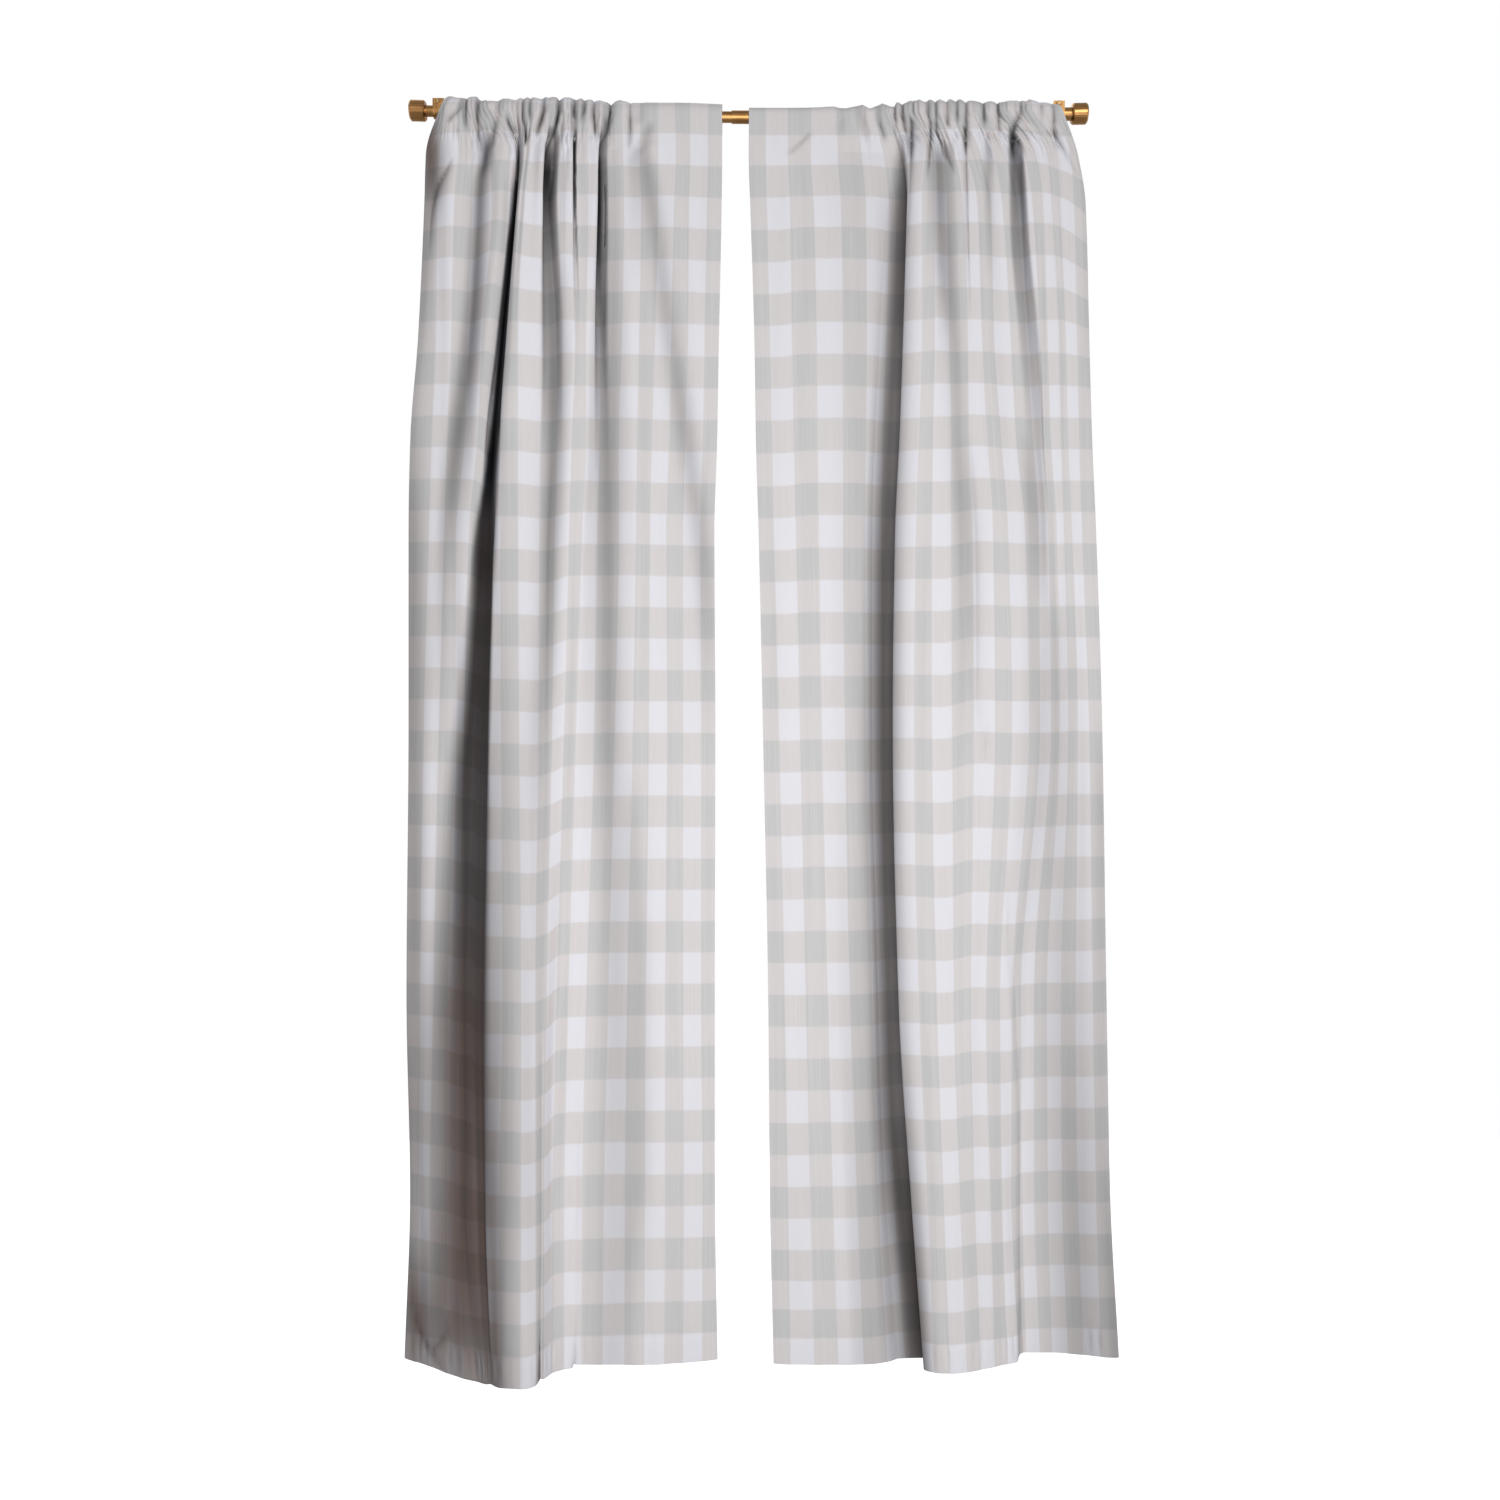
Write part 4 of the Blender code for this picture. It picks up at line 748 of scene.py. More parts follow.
@dataclass(frozen=True)
class Unevenness:
    """The cloth's small waves: all over, in the pleats, under the header, by the stitches and in the hem."""

    wander: tuple[Wave, Wave] = (Wave(0.35, 1.3, slant=1 / 190), Wave(0.25, -0.7, slant=1 / 83))
    slow: Wave = Wave(0.9, 2.3)
    slow_push: float = 3.0
    quick: Wave = Wave(0.6, 5.1, slant=1 / 400)
    quick_push: float = -2.0
    soft_from: float = 120.0
    tight: tuple[Wave, Wave] = (Wave(1.0, 13.0, 2.2, 3.7), Wave(0.6, 23.0, 1.7, 6.1, 1.0))
    pucker_reach: float = 13.0
    pucker_flat: float = 0.35
    pucker_gathered: float = 1.15
    under: Wave = Wave(1.5, 6.6, 1.3, 2.1, slant=1 / 300)
    under_start: float = 40.0
    under_fade: float = 170.0
    under_rise: tuple[float, float] = (20.0, 60.0)
    groove_depth: float = 0.9
    groove_reach: float = 3.5
    ruck: tuple[Wave, Wave] = (Wave(1.3, 7.3, 1.8, 2.9), Wave(0.65, 12.1, start=0.6))
    ruck_below: float = 18.0
    ruck_reach: float = 18.0
    gather_start: tuple[float, float] = (-0.4, 1.2)
    pleat_start: tuple[float, float] = (-0.6, 0.8)
    pleat_swing: tuple[Wave, ...] = (
        Wave(1.1, 1.7), Wave(0.5, 2.3, slant=1 / 11), Wave(0.4, -3.1, slant=1 / 5),
    )
    pleat: Wave = Wave(0.55, 8.3)
    small_pleat: Wave = Wave(0.45, 14.7, start=0.8)
    small_pleat_push: float = -1.4
    strength: float = 0.55
    strength_wave: Wave = Wave(0.3, 0.83, start=0.6)
    strength_beat: Wave = Wave(0.3, 2.9)
    beat_push: Wave = Wave(0.5, 0.0, slant=1 / 9)
    pleat_end: tuple[float, float] = (34.0, 110.0)
    pleat_depth: float = 3.0
    # Share of painted shade in the valleys of the header's pleats
    painted_pleat_shade: float = 0.25


@dataclass(frozen=True)
class Panel:
    """One curtain panel: a thin closed sheet in its hanging shape, with a tunnel for the rod.

    Its stripes are counted from the inner edge, and flat_stripes of them hang flat there. mirrored says
    that the inner edge is on the right. The mesh has flat_columns to a flat stripe and gather_columns to
    a gathered one.
    """

    name: str
    node: str
    lines: tuple[Line, ...]
    folds: tuple[Fold, ...]
    top_edge: tuple[tuple[float, float], ...]
    hem_edge: tuple[tuple[float, float], ...]
    drifts: tuple[Drift, ...]
    flat_stripes: float
    mirrored: bool
    rests_on: tuple[str, ...]
    make: Make = Make()
    mesh_rows: MeshRows = MeshRows()
    tunnel: Tunnel = Tunnel()
    uneven: Unevenness = Unevenness()
    flat_columns: int = 9
    gather_columns: int = 18

    def column_stripes(self) -> Grid:
        """Give the stripe places of the mesh's columns, closer together in the gathers."""
        flat = np.linspace(0.0, self.flat_stripes, int(self.flat_stripes * self.flat_columns) + 1)
        rest = self.make.stripes - self.flat_stripes
        gathered = np.linspace(self.flat_stripes, self.make.stripes, int(rest * self.gather_columns) + 1)
        return np.concatenate([flat, gathered[1:]])

    def table(self, stripes: Grid, drops: Grid) -> tuple[Grid, Grid]:
        """Read picture columns and depths off the table of lines.

        Args:
            stripes: Stripe places, one for each mesh column.
            drops: Drops below the rod's line, one for each mesh row.

        Returns:
            Picture columns and depths, both columns by rows.
        """
        keys = [line.stripe for line in self.lines]
        seen = np.array([[level[0] for level in line.levels] for line in self.lines])
        depth = np.array([[level[1] for level in line.levels] for line in self.lines])
        seen_rows = smooth(LEVEL_DROPS, seen.T, drops).T
        depth_rows = smooth(LEVEL_DROPS, depth.T, drops).T
        return smooth(keys, seen_rows, stripes), smooth(keys, depth_rows, stripes)

    def relief(self, stripes: Grid, seen: Grid, rows: Grid) -> tuple[Grid, Grid, Grid, Grid]:
        """Add up the folds laid over the table's shape.

        Args:
            stripes: Stripe places, one for each mesh column.
            seen: Picture columns of the points.
            rows: Picture rows of the points.

        Returns:
            Forward depth, shift in pixels, darkening and its warmth for each point.
        """
        deep = np.zeros_like(seen)
        shift = np.zeros_like(seen)
        painted_shade = np.zeros_like(seen)
        warm = np.zeros_like(seen)
        for fold in self.folds:
            path = np.array(fold.path, dtype=float)
            read = smooth(path[:, 0], path[:, 1:], rows.ravel())
            centre, height, wide, shade = (read[:, i].reshape(rows.shape) for i in range(4))
            inside = (rows >= path[0, 0]) & (rows <= path[-1, 0])
            low, high = fold.stripes
            window = ease(low, low + WINDOW_RIM, stripes) * (1.0 - ease(high - WINDOW_RIM, high, stripes))
            share = fold.section.across((seen - centre) / wide) * inside * window[:, None]
            deep += height * share
            shift += fold.lean * share * np.clip(-height / FULL_LEAN_DEPTH, 0.0, 1.0)
            # Painted shade of the folds, and the warm tint that stands in for bounced light
            painted_shade = 1.0 - (1.0 - painted_shade) * (1.0 - np.clip(shade * share, 0.0, 1.0))
            warm = np.maximum(warm, fold.warm * np.clip(shade * share, 0.0, 1.0))
        return deep, shift, painted_shade, warm

    def ripples(self, stripes: Grid, drops: Grid) -> Grid:
        """Give the cloth's small unevenness: soft waves, and puckers along the stitches and the hem."""
        s, d = stripes[:, None], drops[None, :]
        make, uneven = self.make, self.uneven
        begin, full = uneven.gather_start
        gathered = ease(self.flat_stripes + begin, self.flat_stripes + full, s)
        wander = sum(wave.at(s, d) for wave in uneven.wander)
        soft = uneven.slow.at(s, d, uneven.slow_push * wander)
        soft = soft + uneven.quick.at(s, d, uneven.quick_push * wander)
        tight = sum(wave.at(s, d) for wave in uneven.tight)
        near_stitch = np.exp(-((d - make.stitch_below_rod) / uneven.pucker_reach) ** 2)
        pucker = (uneven.pucker_flat + uneven.pucker_gathered * gathered) * tight * near_stitch
        fade = np.exp(-np.clip(d - uneven.under_start, 0.0, None) / uneven.under_fade)
        under = gathered * fade * ease(*uneven.under_rise, d) * uneven.under.at(s, d)
        hem = d - (make.hem_drop - make.hem_turn)
        groove = -uneven.groove_depth * np.exp(-(hem / uneven.groove_reach) ** 2)
        in_hem = np.exp(-((hem - uneven.ruck_below) / uneven.ruck_reach) ** 2)
        ruck = gathered * in_hem * sum(wave.at(s, d) for wave in uneven.ruck)
        pleats = uneven.pleat_depth * self.pleats(stripes, drops)
        return soft * ease(0.0, uneven.soft_from, d) + pucker + under + groove + ruck + pleats

    def pleats(self, stripes: Grid, drops: Grid) -> Grid:
        """Give the small uneven pleats of the header, from -1 to 1."""
        s, d = stripes[:, None], drops[None, :]
        uneven = self.uneven
        begin, full = uneven.pleat_start
        gathered = ease(self.flat_stripes + begin, self.flat_stripes + full, s)
        swing = sum(wave.at(s, d) for wave in uneven.pleat_swing)
        fine = uneven.pleat.at(s, d, swing) + uneven.small_pleat.at(s, d, uneven.small_pleat_push * swing)
        beat = uneven.strength_beat.at(s, d, uneven.beat_push.at(s, d))
        strength = uneven.strength + uneven.strength_wave.at(s, d) + beat
        return fine * strength * gathered * (1.0 - ease(*uneven.pleat_end, d))

    def clear_rod(self, depth: Grid, drops: Grid) -> Grid:
        """Keep the cloth in front of the rod at the heights where the rod lies."""
        least = np.sqrt(np.clip(self.make.rod_room ** 2 - drops[None, :] ** 2, 0.0, None))
        return np.maximum(depth, least)

    def front(self, stripes: Grid, drops: Grid) -> dict[str, Grid]:
        """Work out the front layer at drops below the rod's line, from the rod to the hem."""
        make = self.make
        seen, depth = self.table(stripes, drops)
        x_rod = PICTURE.sideways(seen[:, 0], depth[:, 0])
        stitch = ROD.height(x_rod) - make.stitch_below_rod
        hem_key = np.array(self.hem_edge, dtype=float)
        hem = -make.hem_drop - smooth(hem_key[:, 0], hem_key[:, 1], stripes)
        last = LEVEL_DROPS[-1]
        share = (drops[None, :] - make.stitch_below_rod) / (last - make.stitch_below_rod)
        below = stitch[:, None] + (hem - stitch)[:, None] * share
        above = (ROD.height(x_rod))[:, None] - drops[None, :]
        height = np.where(drops[None, :] >= make.stitch_below_rod, below, above)
        rows = PICTURE.row(height)
        deep, shift, painted_shade, warm = self.relief(stripes, seen, rows)
        depth = self.clear_rod(depth + deep + self.ripples(stripes, drops), drops)
        # Painted shade in the valleys of the header's pleats
        valley = np.clip(-self.pleats(stripes, drops), 0.0, 1.0)
        painted_shade = 1.0 - (1.0 - painted_shade) * (1.0 - self.uneven.painted_pleat_shade * valley)
        seen = seen + shift
        return {"x": PICTURE.sideways(seen, depth), "depth": depth, "z": height, "painted_shade": painted_shade, "warm": warm,
                "seen": seen, "v": -height}

    def drift(self, stripes: Grid, height: Grid) -> Grid:
        """Give how far the bands run below their even heights."""
        rows = PICTURE.row(height)
        keys = [drift.stripe for drift in self.drifts]
        read = []
        for drift in self.drifts:
            path = np.array(drift.path, dtype=float)
            read.append(smooth(path[:, 0], path[:, 1], rows.ravel()).reshape(rows.shape))
        read = np.array(read)
        out = np.empty_like(height)
        for column, stripe in enumerate(stripes):
            out[column] = smooth(keys, read[:, column, :], np.array([stripe]))[0]
        return out

    def sheet_rows(self, stripes: Grid) -> dict[str, Grid]:
        """Lay out the whole sheet, from the turned hem up the front and over the rod to the seam.

        The hem's turn follows the face's lowest rows backwards, a little behind them.

        Args:
            stripes: Stripe places, one for each mesh column.

        Returns:
            Grids, columns by rows, of x, y, z, band place, painted shade and its warm bounce tint.
        """
        make = self.make
        drops = self.mesh_rows.drops()
        face = self.front(stripes, drops[::-1])
        face = {key: value[:, ::-1] for key, value in face.items()}
        y = -ROD.to_wall - face["depth"]
        at = np.arange(self.mesh_rows.turned)[::-1]
        to_side = np.minimum(stripes, make.stripes - stripes)
        corner = 1.0 - ease(make.side_turn, make.corner_reach * make.side_turn, to_side)
        gap = np.full(len(at), make.turn_gap)
        gap[-1] *= make.turn_tip
        behind = (1.0 + make.corner_gap * corner)[:, None] * gap[None, :]
        normal = self.normals({"x": face["x"], "y": y, "z": face["z"]})[:, at]
        turn_x = face["x"][:, at] - normal[:, :, 0] * behind
        turn_y = y[:, at] - normal[:, :, 1] * behind
        turn_z = face["z"][:, at] - normal[:, :, 2] * behind
        turn_z[:, -1] += make.turn_tip_rise
        parts = {"x": [turn_x, face["x"]], "y": [turn_y, y], "z": [turn_z, face["z"]],
                 "v": [turn_z - 2.0 * face["z"][:, :1], face["v"]],
                 "painted_shade": [face["painted_shade"][:, at], face["painted_shade"]], "warm": [face["warm"][:, at], face["warm"]]}
        over = self.over_rod(stripes, face, y)
        for key in parts:
            parts[key].append(over[key])
        return {key: np.concatenate(value, axis=1) for key, value in parts.items()}

    def over_rod(self, stripes: Grid, face: dict[str, Grid], y: Grid) -> dict[str, Grid]:
        """Carry the sheet over the rod, down behind it and in to the seam.

        Args:
            stripes: Stripe places, one for each mesh column.
            face: The front layer's grids.
            y: The front layer's places towards the wall.

        Returns:
            Grids of the rows past the front layer.
        """
        tunnel = self.tunnel
        x_front, front, z_front = face["x"][:, -1], face["depth"][:, -1], face["z"][:, -1]
        edge = np.array(self.top_edge, dtype=float)
        tops = np.array([line.top for line in self.lines])
        top_seen = smooth([line.stripe for line in self.lines], tops, stripes)
        top_row = np.interp(top_seen, edge[:, 0], edge[:, 1])
        crown = np.clip(PICTURE.height(top_row, 0.0) - z_front, *tunnel.crown)
        x_top = PICTURE.sideways(top_seen, front)
        count = 2 * tunnel.smooth_reach + 1
        padded = np.pad(front, tunnel.smooth_reach, mode="edge")
        even_front = np.convolve(padded, np.ones(count) / count, mode="valid")
        follow = tunnel.back_follow * np.clip(even_front - tunnel.follow_from, 0.0, None)
        back = tunnel.back_depth - tunnel.back_pleats * (front - even_front) - follow
        centre, reach = (front + back) / 2.0, (front - back) / 2.0
        angles = np.linspace(0.0, math.pi, tunnel.arc_steps + 1)[1:]
        to_top = np.clip(angles / math.pi * tunnel.top_part, 0.0, 1.0)
        x_arc = x_front[:, None] + (x_top - x_front)[:, None] * to_top[None, :]
        y_arc = -ROD.to_wall - centre[:, None] - reach[:, None] * np.cos(angles)[None, :]
        z_arc = z_front[:, None] + crown[:, None] * np.sin(angles)[None, :]
        stitch = int(np.argmin(np.abs(face["z"][0] - (z_front[0] - self.make.stitch_below_rod))))
        normal = self.normals({"x": face["x"], "y": y, "z": face["z"]})
        x_seam = face["x"][:, stitch] - tunnel.seam_inward * normal[:, stitch, 0]
        y_seam = y[:, stitch] + tunnel.seam_gap
        z_seam = face["z"][:, stitch]
        down = np.array(tunnel.way_down)
        inward = down ** tunnel.inward_curve
        x_back = x_arc[:, -1:] + (x_seam - x_arc[:, -1])[:, None] * down[None, :]
        y_back = y_arc[:, -1:] + (y_seam - y_arc[:, -1])[:, None] * inward[None, :]
        z_back = z_arc[:, -1:] + (z_seam - z_arc[:, -1])[:, None] * down[None, :]
        x_end = np.stack([x_seam, face["x"][:, stitch - 1]], axis=1)
        y_end = np.stack([y_seam, y[:, stitch - 1] + tunnel.seam_gap], axis=1)
        z_end = z_seam[:, None] - np.array(tunnel.seam_ends)[None, :]
        outer = self.make.stripes
        inset = tunnel.outer_inset * ease(outer - tunnel.outer_reach, outer, stripes)[:, None]
        inset = inset if self.mirrored else -inset
        x = np.concatenate([x_arc, x_back + inset * down[None, :], x_end + inset], axis=1)
        y_rows = np.concatenate([y_arc, y_back, y_end], axis=1)
        z = np.concatenate([z_arc, z_back, z_end], axis=1)
        first = np.stack([y[:, -1], z_front], axis=1)[:, None, :]
        points = np.concatenate([first, np.stack([y_rows, z], axis=2)], axis=1)
        steps = np.linalg.norm(np.diff(points, axis=1), axis=2)
        v = face["v"][:, -1:] - np.cumsum(steps, axis=1)
        # The painted fold shade fades out over the rod
        fade = np.clip(1.0 - angles / (math.pi * tunnel.shade_part), 0.0, 1.0)
        painted_shade = np.zeros_like(x)
        painted_shade[:, :len(angles)] = face["painted_shade"][:, -1:] * fade[None, :]
        return {"x": x, "y": y_rows, "z": z, "v": v, "painted_shade": painted_shade, "warm": np.zeros_like(x)}

    def side_turns(self, grids: dict[str, Grid], stripes: Grid) -> tuple[dict[str, Grid], Grid]:
        """Turn both side edges back by a narrow hem.

        Args:
            grids: The sheet's grids.
            stripes: Stripe places, one for each mesh column.

        Returns:
            The grids and the stripe places, with the turned columns at both ends.
        """
        shares = np.array(self.make.side_steps) * self.make.side_turn
        gap = np.array(self.make.side_gaps)[:, None] * self.make.turn_gap
        at_end = [int(np.argmin(np.abs(stripes - place))) for place in stripes[-1] - shares]
        at_start = [int(np.argmin(np.abs(stripes - place))) for place in shares]
        out = {}
        normal = self.normals(grids)
        for axis, key in enumerate(("x", "y", "z")):
            start = grids[key][at_start] - normal[at_start][:, :, axis] * gap
            end = grids[key][at_end] - normal[at_end][:, :, axis] * gap
            out[key] = np.concatenate([start[::-1], grids[key], end])
        for key in ("v", "painted_shade", "warm"):
            out[key] = np.concatenate([grids[key][at_start][::-1], grids[key], grids[key][at_end]])
        place = np.concatenate([-shares[::-1], stripes, stripes[-1] + shares])
        return out, place

    def normals(self, grids: dict[str, Grid]) -> Grid:
        """Give the outward direction at every point of the sheet."""
        points = np.stack([grids["x"], grids["y"], grids["z"]], axis=2)
        cross = np.cross(np.gradient(points, axis=0), np.gradient(points, axis=1))
        length = np.linalg.norm(cross, axis=2, keepdims=True)
        return cross / np.maximum(length, TINY) * (-1.0 if self.mirrored else 1.0)

    def closed_faces(self, columns: int, rows: int) -> tuple[list[list[int]], int]:
        """Join a front layer, a back layer and the rim between them.

        Args:
            columns: Points across.
            rows: Points along.

        Returns:
            The faces, with the front's first, and how many the front has.
        """
        count = columns * rows
        index = np.arange(count).reshape(columns, rows)
        quads = np.stack([index[:-1, :-1], index[1:, :-1], index[1:, 1:], index[:-1, 1:]], axis=2)
        quads = quads.reshape(-1, 4)
        rim = np.concatenate([index[:, 0], index[-1, 1:], index[-2::-1, -1], index[0, -2:0:-1]])
        following = np.roll(rim, -1)
        walls = np.stack([following, rim, rim + count, following + count], axis=1)
        faces = np.concatenate([quads, quads[:, ::-1] + count, walls])
        if self.mirrored:
            faces = faces[:, ::-1]
        return faces.tolist(), len(quads)

    def build(self) -> bpy.types.Object:
        """Make the panel's mesh with its maps, as one closed thin sheet."""
        stripes = self.column_stripes()
        grids = self.sheet_rows(stripes)
        grids["v"] = grids["v"] - self.drift(stripes, grids["z"])
        grids, place = self.side_turns(grids, stripes)
        points = np.stack([grids["x"], grids["y"], grids["z"]], axis=2)
        out = self.normals(grids) * self.make.half_cloth
        vertices = np.concatenate([(points + out).reshape(-1, 3), (points - out).reshape(-1, 3)])
        faces, front_faces = self.closed_faces(*grids["x"].shape)
        mesh = bpy.data.meshes.new(self.name)
        mesh.from_pydata((vertices * MM).tolist(), [], faces)
        mesh.update()
        self.lay_maps(mesh, place, grids, front_faces)
        mesh.shade_smooth()
        mesh.set_sharp_from_angle(angle=math.radians(self.make.sharp_angle))
        panel = bpy.data.objects.new(self.name, mesh)
        bpy.context.collection.objects.link(panel)
        LOG.info("%s: %d by %d points, %d faces", self.name, *grids["x"].shape, len(faces))
        return panel

    def hang(self, front: bpy.types.Material, back: bpy.types.Material) -> None:
        """Args:
            front: The cloth's front.
            back: The cloth's back.
        """
        piece = self.build()
        piece.data.materials.append(front)
        piece.data.materials.append(back)
        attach(piece, "root")
        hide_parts(self.node)

    def lay_maps(self, mesh: bpy.types.Mesh, place: Grid, grids: dict[str, Grid], front_faces: int) -> None:
        """Lay the check's map and the painted shade on the mesh, and give the back its own slot.

        Args:
            mesh: The panel's mesh.
            place: Stripe places of the columns.
            grids: The sheet's grids.
            front_faces: How many of the first faces are the front.
        """
        u = np.repeat(place[:, None], grids["v"].shape[1], axis=1).ravel()
        v = (grids["v"].ravel() - self.make.first_band) / self.make.band_height
        pairs = np.stack([np.tile(u, 2), np.tile(v, 2)], axis=1)
        corners = np.empty(len(mesh.loops), dtype=np.int32)
        mesh.loops.foreach_get("vertex_index", corners)
        layer = mesh.uv_layers.new(name=CHECK_MAP)
        layer.data.foreach_set("uv", pairs[corners].ravel().astype(np.float32))
        # Painted shade and its warm tint lie on the front layer only
        for name, key in ((PAINTED_SHADE_MAP, "painted_shade"), (PAINTED_WARMTH_MAP, "warm")):
            values = np.concatenate([grids[key].ravel(), grids[key].ravel() * 0.0])
            attribute = mesh.attributes.new(name=name, type="FLOAT", domain="POINT")
            attribute.data.foreach_set("value", values.astype(np.float32))
        slots = np.ones(len(mesh.polygons), dtype=np.int32)
        slots[:front_faces] = 0
        mesh.polygons.foreach_set("material_index", slots)


class Socket:
    """A value in a shader, that Python's operators extend with Math nodes."""

    def __init__(self, maker: "NodeMaker", link: bpy.types.NodeSocket) -> None:
        """Wrap an output socket of a shader's node."""
        self.maker = maker
        self.link = link

    def _math(self, operation: str, *values: Any) -> "Socket":
        """Add a Math node."""
        return self.maker.add("ShaderNodeMath", {"operation": operation}, dict(enumerate(values)))

    def __add__(self, other: Any) -> "Socket":
        """Add a value."""
        return self._math("ADD", self, other)

    __radd__ = __add__

    def __sub__(self, other: Any) -> "Socket":
        """Take a value away."""
        return self._math("SUBTRACT", self, other)

    def __rsub__(self, other: Any) -> "Socket":
        """Take this from a value."""
        return self._math("SUBTRACT", other, self)

    def __mul__(self, other: Any) -> "Socket":
        """Multiply by a value."""
        return self._math("MULTIPLY", self, other)

    __rmul__ = __mul__

    def __abs__(self) -> "Socket":
        """Drop the sign."""
        return self._math("ABSOLUTE", self)

    def fraction(self) -> "Socket":
        """Keep what is past the whole number."""
        return self._math("FRACT", self)

    def rise(self, low: float, high: float) -> "Socket":
        """Go softly from 0 at low to 1 at high."""
        inputs = {"Value": self, "From Min": low, "From Max": high}
        return self.maker.add("ShaderNodeMapRange", {"interpolation_type": "SMOOTHSTEP"}, inputs)


class NodeMaker:
    """Adds nodes to one tree."""

    def __init__(self, tree: bpy.types.NodeTree) -> None:
        """Start with an empty tree."""
        self.tree = tree
        tree.nodes.clear()

    def node(self, kind: str, settings: dict[str, Any], inputs: dict[Any, Any]) -> bpy.types.Node:
        """Add a node.

        Args:
            kind: The node's type.
            settings: Its settings, set first.
            inputs: Values or links of its sockets.

        Returns:
            The node.
        """
        node = self.tree.nodes.new(kind)
        for name, value in settings.items():
            setattr(node, name, value)
        for name, value in inputs.items():
            self.join(node.inputs[name], value)
        return node

    def add(self, kind: str, settings: dict[str, Any], inputs: dict[Any, Any], output: Any = 0) -> Socket:
        """Add a node and give the output that is wanted."""
        return Socket(self, self.node(kind, settings, inputs).outputs[output])

    def join(self, socket: bpy.types.NodeSocket, value: Any) -> None:
        """Link a socket, or set its own value."""
        if isinstance(value, Socket):
            self.tree.links.new(value.link, socket)
        elif socket.type == "VECTOR":
            socket.default_value = value[:3]
        else:
            socket.default_value = value

    def mix(self, share: Any, first: Any, second: Any, way: str = "MIX") -> Socket:
        """Mix two colours."""
        settings = {"data_type": "RGBA", "blend_type": way}
        return self.add("ShaderNodeMix", settings, {0: share, 6: first, 7: second}, 2)

    def scale(self, colour: Any, share: Any) -> Socket:
        """Scale a colour by a value."""
        return self.add("ShaderNodeVectorMath", {"operation": "SCALE"}, {0: colour, "Scale": share})

    def noise(self, place: Socket, scale: float, detail: float, roughness: float = 0.5) -> Socket:
        """Give a soft uneven pattern from 0 to 1."""
        inputs = {"Vector": place, "Scale": scale, "Detail": detail, "Roughness": roughness}
        return self.add("ShaderNodeTexNoise", {}, inputs, "Fac")

    def stretched(self, place: Socket, scale: Sequence[float]) -> Socket:
        """Stretch the places that a pattern is read at."""
        return self.add("ShaderNodeMapping", {}, {"Vector": place, "Scale": scale})

    def bump(self, height: Socket, strength: float, distance: float) -> Socket:
        """Turn a height into a fine relief."""
        return self.add("ShaderNodeBump", {}, {"Strength": strength, "Distance": distance, "Height": height})


class Shader(NodeMaker):
    """The nodes of one material."""

    def __init__(self, name: str) -> None:
        """Start a material with its surface shader and output."""
        self.material = bpy.data.materials.new(name)
        self.material.use_nodes = True
        super().__init__(self.material.node_tree)
        self.surface = self.node("ShaderNodeBsdfPrincipled", {}, {})
        self.node("ShaderNodeOutputMaterial", {}, {"Surface": Socket(self, self.surface.outputs[0])})

    def attribute(self, name: str) -> Socket:
        """Read a number stored on the mesh."""
        return self.add("ShaderNodeAttribute", {"attribute_name": name}, {}, "Fac")

    def check_map(self) -> Socket:
        """Read the cloth's own map, counted in stripes and bands."""
        return self.add("ShaderNodeUVMap", {"uv_map": CHECK_MAP}, {})

    def set(self, **values: Any) -> None:
        """Set or link the surface shader's sockets, underscores standing for spaces."""
        for name, value in values.items():
            self.join(self.surface.inputs[name.replace("_", " ")], value)


def rgb(red: int, green: int, blue: int) -> tuple[float, float, float, float]:
    """Turn a screen colour into a linear one."""
    values = []
    for part in (red, green, blue):
        share = part / 255.0
        values.append(share / 12.92 if share <= 0.04045 else ((share + 0.055) / 1.055) ** 2.4)
    return (*values, 1.0)


@dataclass(frozen=True)
class Thread:
    """One kind of unevenness of the threads: its stretch, and how much it lightens the cloth."""

    stretch: tuple[float, float, float]
    detail: float
    light: float


